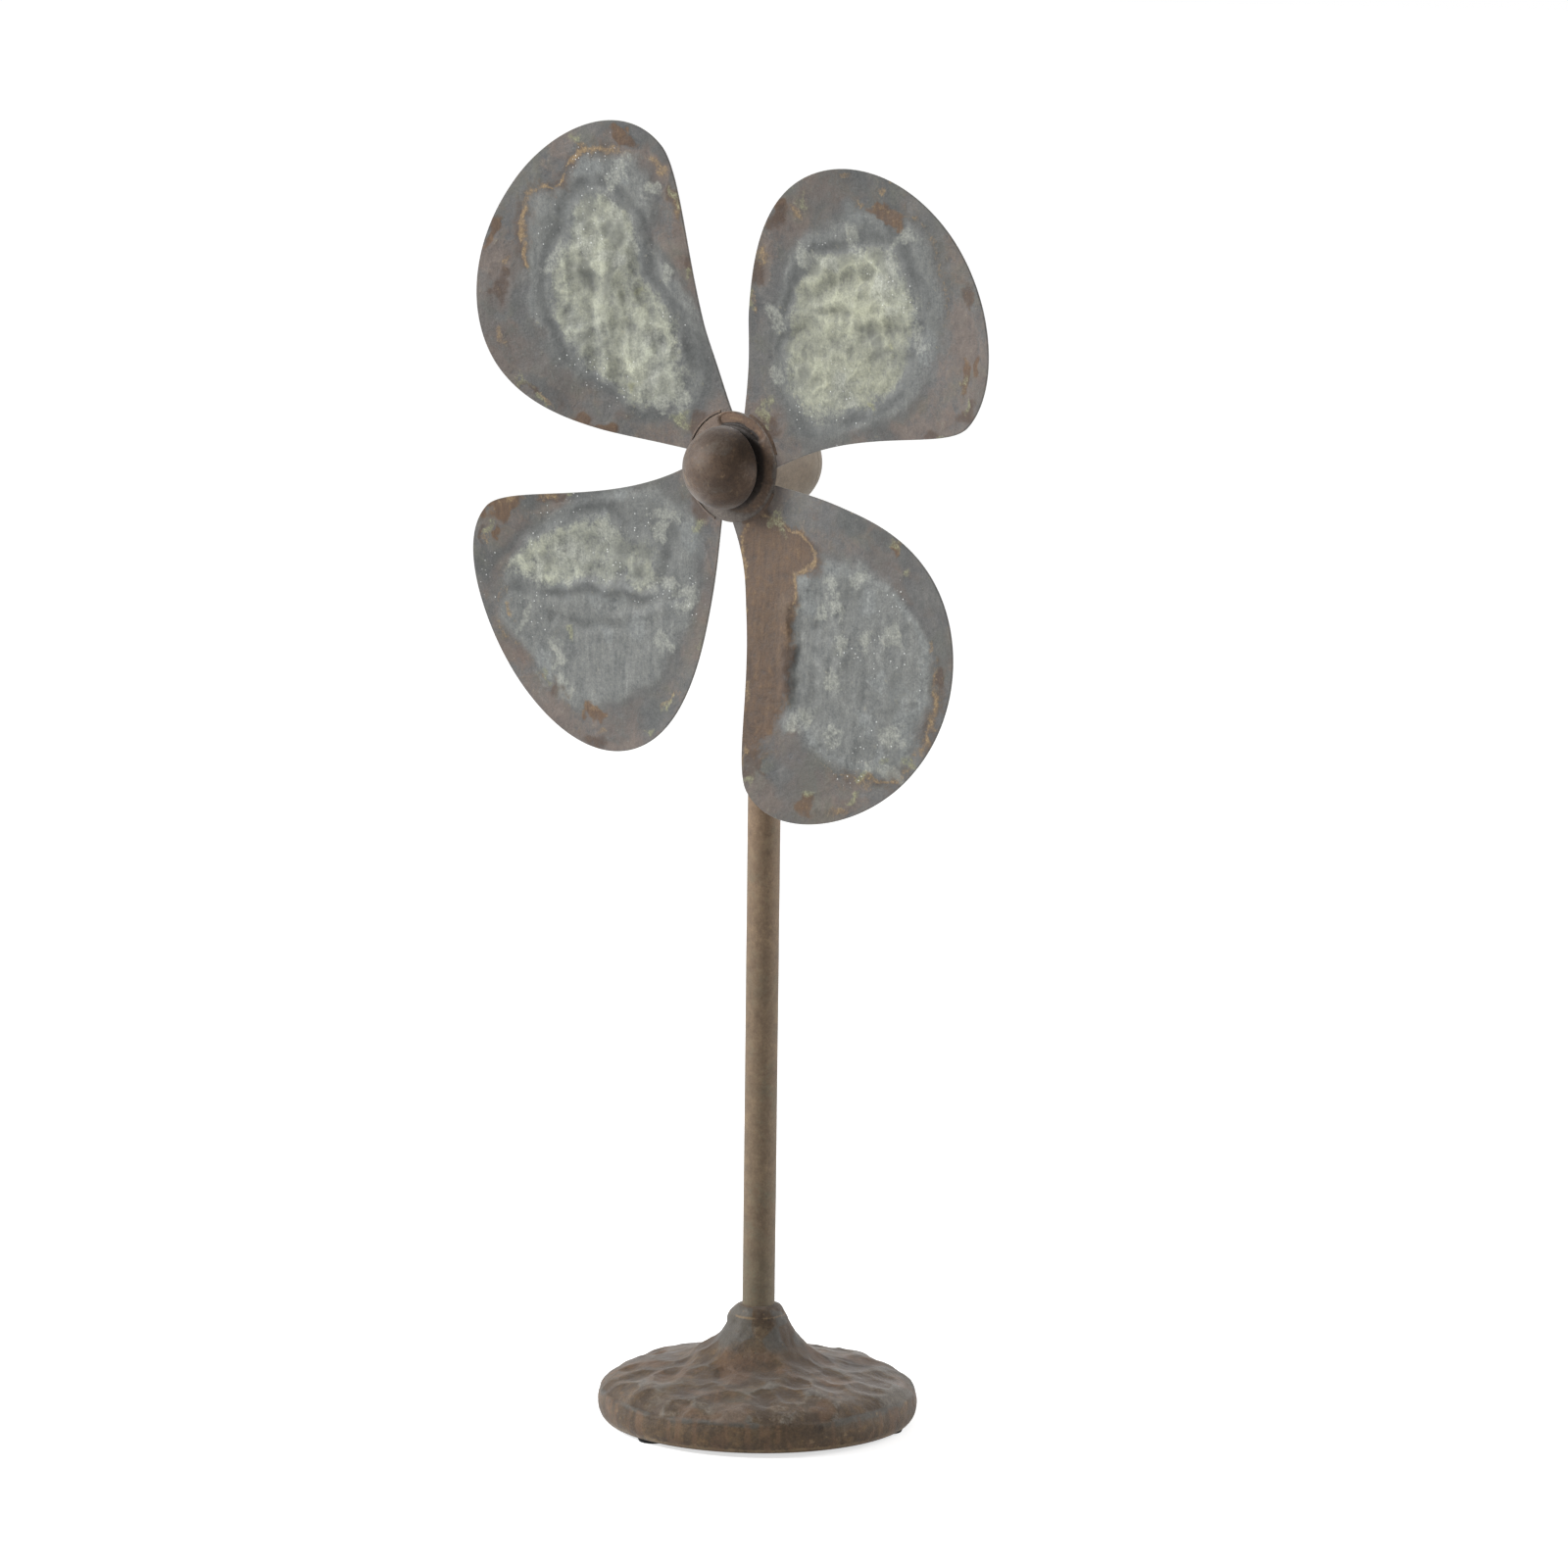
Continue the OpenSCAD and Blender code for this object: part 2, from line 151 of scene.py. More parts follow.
def dimples(x, y, seed, count, spread, radius, depth, softness, gap):
    """Overlapping shallow scoops: the surface is the lowest of them. spread draws a centre, radius
    and depth are ranges, gap is the least spacing as a share of the largest radius. Returns the
    softened height, the lowest scoop, and how far the next one lies above it (0 on a crest)."""
    rnd = np.random.RandomState(seed)
    placed = []
    for _ in range(count * 60):
        if len(placed) >= count:
            break
        cx, cy = spread(rnd)
        size = radius[0] + (radius[1] - radius[0]) * rnd.rand()
        if all(math.hypot(cx - q[0], cy - q[1]) > gap * radius[1] for q in placed):
            deep = depth[0] + (depth[1] - depth[0]) * rnd.rand()
            placed.append((cx, cy, size, deep, math.pi * rnd.rand(), 1 + 0.75 * rnd.rand()))
    total = np.ones(len(x))
    lowest, second = np.zeros(len(x)), np.zeros(len(x))
    for cx, cy, size, deep, turn, aspect in placed:
        c, s = math.cos(turn), math.sin(turn)
        dx, dy = x - cx, y - cy
        forth = dx * c + dy * s
        reach = (forth / (size * aspect)) ** 2 + ((-dx * s + dy * c) / size) ** 2
        tilt = 1 + np.clip(0.35 * forth / size, -0.5, 0.5)
        scoop = np.minimum(-deep * (1 - reach) * tilt, 3.0)
        total += np.exp(-scoop / softness)
        lower = scoop < lowest
        second = np.where(lower, lowest, np.minimum(second, scoop))
        lowest = np.where(lower, scoop, lowest)
    return -softness * np.log(total), lowest, second - lowest


# ---------------------------------------------------------------------------
# meshes
# ---------------------------------------------------------------------------


def make_object(name, replaced, slot, body, points, faces, sharp, attributes=None):
    """Smooth-shaded object from points in metres; edges over `sharp` degrees stay crisp."""
    mesh = bpy.data.meshes.new(name)
    mesh.from_pydata([tuple(p) for p in points], [], [tuple(f) for f in faces])
    mesh.update()
    for key, values in (attributes or {}).items():
        layer = mesh.attributes.new(key, "FLOAT", "POINT")
        layer.data.foreach_set("value", np.asarray(values, np.float32))
    mesh.polygons.foreach_set("use_smooth", [True] * len(mesh.polygons))
    mesh.set_sharp_from_angle(angle=math.radians(sharp))
    obj = bpy.data.objects.new(name, mesh)
    bpy.context.scene.collection.objects.link(obj)
    obj.data.materials.append(MATERIALS[slot])
    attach(obj, body)
    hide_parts(replaced)


def rounded(points, radii, steps):
    """Open polyline with corners turned into arcs. radii: one per point, 0 keeps the corner."""
    out = []
    for k, radius in enumerate(radii):
        corner = np.array(points[k], float)
        if radius <= 0 or k in (0, len(points) - 1):
            out.append(tuple(corner))
            continue
        before = np.array(points[k - 1], float) - corner
        after = np.array(points[k + 1], float) - corner
        len_before, len_after = np.linalg.norm(before), np.linalg.norm(after)
        before, after = before / len_before, after / len_after
        half = math.acos(max(-1, min(1, float(before @ after)))) / 2
        cut = min(radius / math.tan(half), len_before * 0.48, len_after * 0.48)
        fitted = cut * math.tan(half)
        middle = before + after
        centre = corner + middle / np.linalg.norm(middle) * (fitted / math.sin(half))
        first, last = corner + before * cut - centre, corner + after * cut - centre
        from_angle = math.atan2(first[1], first[0])
        to_angle = math.atan2(last[1], last[0])
        sweep = (to_angle - from_angle + math.pi) % (2 * math.pi) - math.pi
        for i in range(steps + 1):
            t = from_angle + sweep * i / steps
            out.append((centre[0] + fitted * math.cos(t), centre[1] + fitted * math.sin(t)))
    return out


def densify(points, step, closed=False):
    """Polyline with extra points, so that none are more than `step` apart."""
    points = [np.array(p, float) for p in points]
    if closed:
        points.append(points[0])
    out = []
    for start, end in zip(points[:-1], points[1:]):
        count = max(1, int(math.ceil(np.linalg.norm(end - start) / step)))
        for i in range(count):
            out.append(start + (end - start) * i / count)
    if not closed:
        out.append(points[-1])
    return np.array(out)


def revolve(profile, segments):
    """Turn a closed outline of (radius, axial) about +Z. Returns points, normals and faces."""
    profile = np.asarray(profile, float)
    along = np.roll(profile, -1, 0) - np.roll(profile, 1, 0)
    normal = np.stack([along[:, 1], -along[:, 0]], -1)
    normal = normal / np.maximum(np.linalg.norm(normal, axis=1, keepdims=True), 1e-9)
    angles = np.linspace(0, 2 * math.pi, segments, endpoint=False)

    def spin(pairs):
        axial = np.repeat(pairs[:, 1:], segments, 1)
        x, y = pairs[:, :1] * np.cos(angles), pairs[:, :1] * np.sin(angles)
        return np.stack([x, y, axial], -1).reshape(-1, 3)

    rows = len(profile)
    faces = []
    for i in range(rows):
        this, following = i * segments, ((i + 1) % rows) * segments
        for j in range(segments):
            k = (j + 1) % segments
            faces.append((this + j, this + k, following + k, following + j))
    return spin(profile), spin(normal), faces


def to_axis(points):
    """Points in mm drawn with +Z forward along the rotor axis -> frame in metres."""
    v = np.asarray(points, float)
    return np.stack([v[..., 0], -v[..., 2], v[..., 1]], -1) * MM + np.array([0, 0, HUB_Z])


def polar(points):
    """Angle and radius about Z."""
    return np.arctan2(points[:, 1], points[:, 0]), np.hypot(points[:, 0], points[:, 1])


def toward(angle, degrees):
    """1 in the given direction, -1 opposite."""
    return np.cos(angle - math.radians(degrees))


# ---------------------------------------------------------------------------
# shader nodes
# ---------------------------------------------------------------------------


def linear(colour):
    """8-bit display colour to linear RGBA."""
    channels = [v / 255.0 for v in colour]
    return tuple(
        v / 12.92 if v <= 0.04045 else ((v + 0.055) / 1.055) ** 2.4 for v in channels
    ) + (1.0,)


def empty_tree(owner):
    owner.use_nodes = True
    owner.node_tree.nodes.clear()
    return owner.node_tree


def add_node(tree, kind, inputs=None, **settings):
    """New shader node; an input is either a value or the socket that feeds it."""
    node = tree.nodes.new("ShaderNode" + kind)
    for key, value in settings.items():
        setattr(node, key, value)
    for key, value in (inputs or {}).items():
        if isinstance(value, bpy.types.NodeSocket):
            tree.links.new(value, node.inputs[key])
        else:
            node.inputs[key].default_value = value
    return node


class Shade:
    """A material under construction, with its named noise fields."""

    def __init__(self, name, fields):
        """fields: rows of name, size mm, detail, roughness, distortion, W offset, then optionally
        contrast (None for plain noise) and the Z scale of the coordinates (under 1 stretches)."""
        self.material = bpy.data.materials.new(name)
        self.tree = empty_tree(self.material)
        self.coord = self.add("TexCoord").outputs["Object"]
        self.fields = {row[0]: self.noise(*row[1:]) for row in fields}

    def add(self, kind, inputs=None, **settings):
        return add_node(self.tree, kind, inputs, **settings)

    def noise(self, size, detail, rough, distort, offset, contrast=None, z_scale=None):
        vector = self.coord
        if z_scale is not None:
            scale = (1.0, 1.0, z_scale)
            vector = self.add("Mapping", {"Scale": scale, "Vector": vector}).outputs[0]
        value = self.add("TexNoise", {
            "Vector": vector, "W": offset, "Scale": 1000.0 / size, "Detail": detail,
            "Roughness": rough, "Distortion": distort}, noise_dimensions="4D").outputs["Fac"]
        return value if contrast is None else self.contrast(value, contrast)

    def cells(self, size):
        return self.add("TexVoronoi", {"Vector": self.coord, "Scale": 1000.0 / size})

    def attribute(self, name):
        return self.add("Attribute", attribute_name=name).outputs["Fac"]

    def math(self, operation, a, b, clamp=False):
        return self.add("Math", {0: a, 1: b}, operation=operation, use_clamp=clamp).outputs[0]

    def times(self, a, b):
        return self.math("MULTIPLY", a, b)

    def plus(self, a, b):
        return self.math("ADD", a, b)

    def vary(self, base, field, amount):
        """base + amount * the named field."""
        return self.plus(base, self.times(self.fields[field], amount))

    def step(self, value, low, high):
        return self.add("MapRange", {"Value": value, "From Min": low, "From Max": high},
                        interpolation_type="SMOOTHSTEP").outputs["Result"]

    def fall(self, value, low, high):
        return self.math("SUBTRACT", 1.0, self.step(value, low, high))

    def contrast(self, value, gain):
        value = self.times(self.math("SUBTRACT", value, 0.5), gain)
        return self.math("ADD", value, 0.5, clamp=True)

    def blend(self, weights):
        """Weighted sum of named fields, or one field if only its name is given."""
        if isinstance(weights, str):
            return self.fields[weights]
        total = None
        for name, weight in weights.items():
            value = self.times(self.fields[name], weight)
            total = value if total is None else self.plus(total, value)
        return total

    def ramp(self, weights, *stops):
        """Colours along a blend of fields or a socket. stops: (position, colour)."""
        is_socket = isinstance(weights, bpy.types.NodeSocket)
        value = weights if is_socket else self.blend(weights)
        node = self.add("ValToRGB", {0: value})
        elements = node.color_ramp.elements
        while len(elements) > 1:
            elements.remove(elements[-1])
        elements[0].position, elements[0].color = stops[0][0], linear(stops[0][1])
        for position, colour in stops[1:]:
            elements.new(position).color = linear(colour)
        return node.outputs[0]

    def mix(self, factor, under, over, mode="MIX"):
        under, over = (linear(c) if isinstance(c, tuple) else c for c in (under, over))
        return self.add("Mix", {"Factor": factor, 6: under, 7: over},
                        data_type="RGBA", blend_type=mode).outputs[2]

    def stain(self, under, mask, wobble, ragged, start, full, strength, over):
        """Lay a colour where the painted mask, its edge made ragged by wobble, is over start."""
        shift = self.times(self.math("SUBTRACT", wobble, 0.5), ragged)
        factor = self.step(self.plus(self.attribute(mask), shift), start, full)
        if strength is not None:
            factor = self.times(factor, strength)
        return self.mix(factor, under, over)

    def dots(self, size, full, gone, pick_low, pick_high, boost=None):
        """Small dots in some of the cells; full and gone are distances from a cell's centre."""
        cell = self.cells(size)
        pick = self.add("SeparateColor", {0: cell.outputs["Color"]}).outputs[0]
        near = self.fall(cell.outputs["Distance"], full, gone)
        chosen = self.step(pick, pick_low, pick_high)
        if boost is not None:
            chosen = self.math("MULTIPLY", chosen, boost, clamp=True)
        return self.times(near, chosen)

    def finish(self, colour, roughness, metallic, height, bump_mm, specular, sheen=0.0):
        bump = self.add("Bump", {"Strength": 1.0, "Distance": bump_mm * MM, "Height": height})
        inputs = {"Base Color": colour, "Roughness": roughness, "Metallic": metallic,
                  "Specular IOR Level": specular, "Normal": bump.outputs[0]}
        if sheen:
            inputs.update({"Sheen Weight": sheen, "Sheen Roughness": 0.45})
        surface = self.add("BsdfPrincipled", inputs)
        self.add("OutputMaterial", {0: surface.outputs[0]})
        return self.material


# ---------------------------------------------------------------------------
# materials
# ---------------------------------------------------------------------------

# name, size, detail, roughness, distortion, offset, contrast, Z scale
SHEET_FIELDS = [
    ("mid", 24, 6, 0.6, 0.8, 4.1, 2.6),
    ("small", 8, 6, 0.65, 0.5, 7.3, 2.6),
    ("tiny", 3.2, 5, 0.65, 0.0, 5.7, 2.6),
    ("fine", 1.3, 4, 0.7, 0.0, 2.9, 2.4),
    ("streak", 8, 8, 0.7, 0.0, 9.2, 2.6, 0.22),
    ("hair", 2.2, 6, 0.7, 0.0, 3.2, 2.4, 0.12),
    ("olive", 34, 6, 0.62, 0.9, 11.3, 2.6),
    ("ruddy", 28, 6, 0.62, 0.9, 14.9, 2.6),
    ("grain", 0.55, 2, 0.5, 0.0, 6.4),
]

# Broad tints of the bare sheet: start, full, strength, weights of the mask, dark and light colour
SHEET_TINTS = [
    (0.42, 0.80, 0.55, dict(olive=0.6, small=0.25, fine=0.15), (92, 95, 85), (124, 127, 114)),
    (0.52, 0.85, 0.50, dict(ruddy=0.6, small=0.25, tiny=0.15), (96, 79, 70), (132, 112, 100)),
]

# Painted masks: raggedness, start, full, strength, field weights of the colour, then ramp stops
SHEET_STAINS = {
    "brown": (1.1, 0.20, 0.95, 0.85, dict(small=0.5, tiny=0.3, hair=0.2),
              (0.10, (98, 88, 83)), (0.40, (120, 108, 101)),
              (0.68, (138, 125, 116)), (0.95, (156, 142, 130))),
    "zone": (0.9, 0.12, 0.88, 1.0, dict(streak=0.26, small=0.24, tiny=0.16, hair=0.18, fine=0.16),
             (0.14, (90, 93, 93)), (0.36, (114, 117, 116)),
             (0.58, (138, 140, 137)), (0.80, (172, 174, 170))),
    "blue": (1.4, 0.25, 1.15, 0.8, dict(tiny=0.5, hair=0.3, fine=0.2),
             (0.15, (116, 120, 121)), (0.5, (139, 143, 142)), (0.88, (172, 175, 172))),
    "tide": (1.6, 0.22, 1.15, 0.88, dict(small=0.6, fine=0.4),
             (0.15, (78, 81, 82)), (0.85, (110, 112, 111))),
    # the cream's tone also follows the relief mask, so it holds painted light on crests and painted shade in
    # hollows
    "cream": (1.15, 0.20, 0.92, 1.0, dict(relief=0.22, mid=0.09, small=0.17, tiny=0.18,
                                          streak=0.08, hair=0.11, fine=0.15),
              (0.20, (112, 116, 113)), (0.36, (141, 144, 138)), (0.50, (164, 167, 156)),
              (0.64, (184, 187, 172)), (0.84, (212, 214, 200))),
    "shade": (1.7, 0.25, 1.35, 0.62, "tiny", (0.2, (98, 101, 100)), (0.8, (126, 128, 124))),
    "pale": (1.7, 0.30, 1.30, 0.72, dict(fine=0.5, hair=0.5),
             (0.2, (150, 153, 147)), (0.8, (196, 198, 186))),
    "rust": (1.0, 0.25, 0.85, 0.88, dict(small=0.40, tiny=0.25, hair=0.35),
             (0.12, (72, 56, 44)), (0.34, (97, 75, 57)),
             (0.60, (117, 91, 68)), (0.88, (150, 119, 86))),
    "deep": (1.3, 0.22, 1.10, 0.85, dict(small=0.5, tiny=0.3, hair=0.2),
             (0.12, (76, 61, 53)), (0.50, (92, 75, 64)), (0.88, (112, 92, 78))),
    "orange": (2.0, 0.30, 1.45, 0.85, dict(fine=0.5, tiny=0.5),
               (0.15, (122, 101, 80)), (0.50, (152, 128, 96)), (0.88, (190, 165, 122))),
    "yellow": (2.0, 0.35, 1.40, 0.75, dict(fine=0.5, tiny=0.5),
               (0.15, (116, 118, 98)), (0.50, (148, 149, 118)), (0.88, (186, 186, 150))),
}


def sheet_material():
    """Weathered galvanised sheet: pale zinc bloom inside a dark tide line, rust at the edges."""
    sh = Shade("weathered_sheet", SHEET_FIELDS)
    sh.fields["relief"] = sh.attribute("relief")
    rag = sh.blend(dict(small=0.40, tiny=0.35, fine=0.25))
    lace = sh.blend(dict(fine=0.35, tiny=0.35, small=0.30))

    def lay(under, mask, wobble):
        ragged, start, full, strength, weights, *stops = SHEET_STAINS[mask]
        over = sh.ramp(weights, *stops)
        if mask == "cream":
            over = sh.mix(sh.times(sh.attribute("warm"), 0.9), over, (255, 253, 238), "MULTIPLY")
        return sh.stain(under, mask, wobble, ragged, start, full, strength, over)

    col = sh.ramp(dict(mid=0.40, small=0.30, hair=0.18, fine=0.12),
                  (0.10, (84, 86, 88)), (0.36, (103, 103, 103)),
                  (0.62, (122, 120, 117)), (0.90, (146, 141, 135)))
    col = lay(col, "brown", rag)
    for start, full, strength, weights, dark, light in SHEET_TINTS:
        mask = sh.times(sh.step(sh.blend(weights), start, full), strength)
        col = sh.mix(mask, col, sh.ramp("tiny", (0.15, dark), (0.85, light)))
    for mask in ("zone", "blue", "tide", "cream", "shade", "pale", "rust", "deep"):
        col = lay(col, mask, rag)
    for mask in ("orange", "yellow"):
        col = lay(col, mask, lace)

    # painted light and shade from the beaten relief: its crests, creases and dimple crest lines are painted
    # brighter, its hollows darker
    worn = sh.ramp(sh.contrast(sh.attribute("relief"), 1.3),
                   (0.10, (96, 96, 96)), (0.50, (128, 128, 128)), (0.90, (160, 160, 160)))
    col = sh.mix(0.45, col, worn, "OVERLAY")

    # fine grain and white pin-head specks of zinc salts
    grain = sh.ramp(dict(grain=0.5, fine=0.5), (0.25, (84, 84, 84)), (0.75, (176, 176, 174)))
    col = sh.mix(0.34, col, grain, "OVERLAY")
    specks = sh.dots(2.6, full=0.08, gone=0.22, pick_low=0.50, pick_high=0.90, boost=1.5)
    specks = sh.times(specks, sh.step(sh.attribute("specks"), 0.30, 0.75))
    col = sh.mix(sh.times(specks, 0.80), col, (222, 224, 222))
    # the cut edge of the sheet is painted lighter
    col = sh.mix(sh.times(sh.attribute("cut"), 0.60), col, (172, 169, 163))

    rough = sh.plus(sh.times(sh.fields["small"], 0.16), sh.vary(0.50, "tiny", 0.12))
    return sh.finish(col, rough, metallic=0.12, height=sh.blend(dict(tiny=0.45, fine=0.25, small=0.8)),
                     bump_mm=0.32, specular=0.40, sheen=0.08)


# Painted masks on rust, below "merge" and "deep": raggedness, start, full, strength, colour
RUST_STAINS = {
    "hollow": (1.0, 0.25, 0.95, 0.60, (76, 61, 49)),
    "slate": (1.1, 0.25, 0.90, 0.65, (88, 88, 84)),
    "ochre": (1.2, 0.40, 0.95, 0.7, (142, 120, 90)),
    "red": (1.5, 0.30, 1.20, 0.50, (119, 91, 69)),
}


def painted_rust(sh, col, rag):
    """Colours for the masks painted on the casting and the hub."""
    # on the casting, ridge also lays painted light on crests and the outer shoulder, and hollow painted shade on
    # the inner rise
    weights = dict(small=0.6, fine=0.4)
    pale = sh.ramp(weights, (0.15, (92, 88, 81)), (0.50, (112, 107, 99)), (0.88, (142, 136, 127)))
    col = sh.stain(col, "ridge", rag, ragged=1.4, start=0.35, full=1.10, strength=0.75, over=pale)
    for mask, settings in RUST_STAINS.items():
        col = sh.stain(col, mask, rag, *settings)
    grey = sh.ramp(weights, (0.15, (80, 72, 66)), (0.50, (98, 90, 83)), (0.85, (117, 109, 101)))
    col = sh.stain(col, "merge", rag, ragged=0.8, start=0.25, full=0.80, strength=None, over=grey)
    # deep lays near-black; on the hub plate it is painted shadow around the dome and in the lip's crevice
    return sh.stain(col, "deep", rag, ragged=0.6, start=0.20, full=0.90, strength=0.88,
                    over=(36, 29, 25))


def green_bloom(sh, col, rag, green):
    """Green bloom, thicker low down, and a lighter tan high up, partly the post's own colour and partly painted
    light against the blades' shadow. Heights are in metres.
    """
    bloom = sh.step(sh.blend(dict(green=0.6, small=0.25, fine=0.15)), 0.45, 0.80)
    height = sh.add("SeparateXYZ", {0: sh.coord}).outputs[2]
    low = sh.times(sh.fall(height, 0.10, 0.50), 0.35)
    near_boss = sh.times(sh.fall(height, 0.08, 0.13), 0.45)
    bloom = sh.plus(sh.times(bloom, 0.55), sh.plus(low, near_boss))
    bloom = sh.times(bloom, sh.vary(0.6, "small", 0.5))
    tan = sh.ramp(rag, (0.2, (126, 103, 80)), (0.8, (166, 140, 112)))
    # lighter tan on the upper post: partly its own colour, partly painted light offsetting the blades' shadow
    col = sh.mix(sh.times(sh.step(height, 0.26, 0.46), 0.30), col, tan)
    return sh.mix(sh.times(bloom, 0.75), col, green)


def rust_material(name, dark, main, light, size, bump_mm, seed,
                  blue=None, green=None, metallic=0.15, masks=False, sheen=0.25):
    """Brown rusted iron or tube: layered brown, with a blue-grey or green bloom and freckles."""
    fields = [
        ("mid", size, 6, 0.62, 0.6, seed + 1.1, 2.6),
        ("small", size / 3.2, 6, 0.65, 0.3, seed + 2.3, 2.6),
        ("fine", 1.1, 4, 0.7, 0.0, seed + 3.7, 2.4),
        ("grain", 0.6, 2, 0.5, 0.0, seed + 8.1),
    ]
    if blue is not None:
        fields.append(("big", size * 3.5, 5, 0.55, 0.6, seed + 0.3, 2.4))
    if green is not None:
        fields.append(("green", size * 2.0, 6, 0.62, 0.8, seed + 5.9, 2.4))
    sh = Shade(name, fields)
    rag_weights = dict(mid=0.4, small=0.35, fine=0.25)
    col = sh.ramp(dict(mid=0.42, small=0.36, fine=0.22), (0.15, dark), (0.50, main), (0.85, light))
    if blue is not None:
        bloom = sh.step(sh.blend(dict(big=0.5, mid=0.3, fine=0.2)), 0.50, 0.82)
        col = sh.mix(sh.times(bloom, 0.6), col, blue)
    if green is not None:
        col = green_bloom(sh, col, sh.blend(rag_weights), green)
    if masks:
        col = painted_rust(sh, col, sh.blend(rag_weights))
    freckles = sh.dots(3.0, full=0.05, gone=0.30, pick_low=0.84, pick_high=0.90)
    col = sh.mix(sh.times(freckles, 0.5), col, (140, 116, 84))
    grain = sh.ramp(dict(grain=0.5, fine=0.5), (0.25, (78, 76, 74)), (0.75, (182, 180, 176)))
    col = sh.mix(0.25, col, grain, "OVERLAY")
    return sh.finish(col, sh.vary(0.46, "small", 0.22), metallic=metallic,
                     height=sh.blend(dict(small=0.6, fine=0.35)), bump_mm=bump_mm,
                     specular=0.40, sheen=sheen)


def steel_material():
    sh = Shade("fastener_steel", [("small", 2.5, 6, 0.65, 0.0, 0.4), ("fine", 0.6, 3, 0.6, 0.0, 1.4),
                                  ("rust", 5, 5, 0.6, 0.0, 3.3)])
    col = sh.ramp("small", (0.30, (96, 88, 80)), (0.50, (124, 120, 114)), (0.70, (152, 150, 146)))
    col = sh.mix(sh.times(sh.step(sh.fields["rust"], 0.55, 0.66), 0.7), col, (118, 92, 70))
    return sh.finish(col, sh.vary(0.35, "small", 0.3), metallic=0.75, height=sh.fields["fine"],
                     bump_mm=0.06, specular=0.5)


def rubber_material():
    sh = Shade("black_rubber", [("small", 1.8, 5, 0.6, 0.0, 0.9), ("dust", 7, 5, 0.6, 0.0, 5.2)])
    col = sh.ramp("small", (0.3, (20, 21, 21)), (0.7, (34, 35, 35)))
    col = sh.mix(sh.times(sh.step(sh.fields["dust"], 0.52, 0.75), 0.35), col, (78, 74, 68))
    return sh.finish(col, sh.vary(0.68, "small", 0.2), metallic=0.0, height=sh.fields["small"],
                     bump_mm=0.08, specular=0.35)


def bronze_material():
    sh = Shade("bronze_bush", [("small", 1.6, 6, 0.65, 0.0, 2.2)])
    col = sh.ramp("small", (0.3, (112, 82, 46)), (0.5, (140, 106, 62)), (0.72, (166, 134, 86)))
    return sh.finish(col, sh.vary(0.38, "small", 0.25), metallic=0.8,
                     height=sh.cells(0.5).outputs["Distance"], bump_mm=0.03, specular=0.5)


# Material slot -> material
MATERIALS = {
    "weathered_sheet": sheet_material(),
    "rusted_casting": rust_material(
        "rusted_casting", dark=(60, 47, 36), main=(88, 71, 52), light=(128, 102, 71),
        blue=(90, 84, 70), size=13, bump_mm=0.40, seed=10.0, metallic=0.1, masks=True, sheen=0.24),
    "rusted_post": rust_material(
        "rusted_post", dark=(104, 84, 66), main=(127, 105, 83), light=(151, 127, 100),
        green=(110, 108, 91), size=11, bump_mm=0.18, seed=20.0, sheen=0.12),
    "rusted_head": rust_material(
        "rusted_head", dark=(106, 92, 77), main=(127, 113, 96), light=(147, 132, 114),
        blue=(124, 122, 110), size=12, bump_mm=0.15, seed=30.0),
    "rusted_hub": rust_material(
        "rusted_hub", dark=(66, 50, 39), main=(86, 67, 52), light=(114, 91, 71),
        blue=(86, 79, 70), size=9, bump_mm=0.22, seed=40.0, masks=True, sheen=0.38),
    "fastener_steel": steel_material(),
    "black_rubber": rubber_material(),
    "bronze_bush": bronze_material(),
}

node_slots = {part["node"]: part["material_slot"] for part in frame["record"]["subparts"]}
for node_name, cad_object in frame["nodes"].items():
    cad_object.data.materials.clear()
    cad_object.data.materials.append(MATERIALS[node_slots[node_name]])

# ---------------------------------------------------------------------------
# blades, drawn flat: x along from the rotor axis, y across, z forward
# ---------------------------------------------------------------------------

PLATE_R = 33.5
PLATE_BACK = 35.0
CUP_R = 490.0
SHEET_T = 1.5
BLADE_MID = PLATE_BACK - 0.05 - SHEET_T / 2
BLADE_ROWS, BLADE_COLUMNS = 204, 144
CUT_BULGE = 0.45

# Each edge runs from the root to its widest point, then round to the shared tip.
# lean (degrees) and reach: root handle; ease_in, ease_out: along, handles at the widest point;
# tip_ease: across, handle at the tip; split: share of the rows up to the widest point
BLADE_TIP = (226, -10)
LOW_EDGE = dict(root=(22, -20), lean=-14, reach=70, ease_in=142, widest=(166, -100),
                ease_out=200, tip_ease=-54, split=0.6)
HIGH_EDGE = dict(root=(23, 14), lean=41, reach=55, ease_in=104, widest=(146, 88),
                 ease_out=188, tip_ease=48, split=0.52)

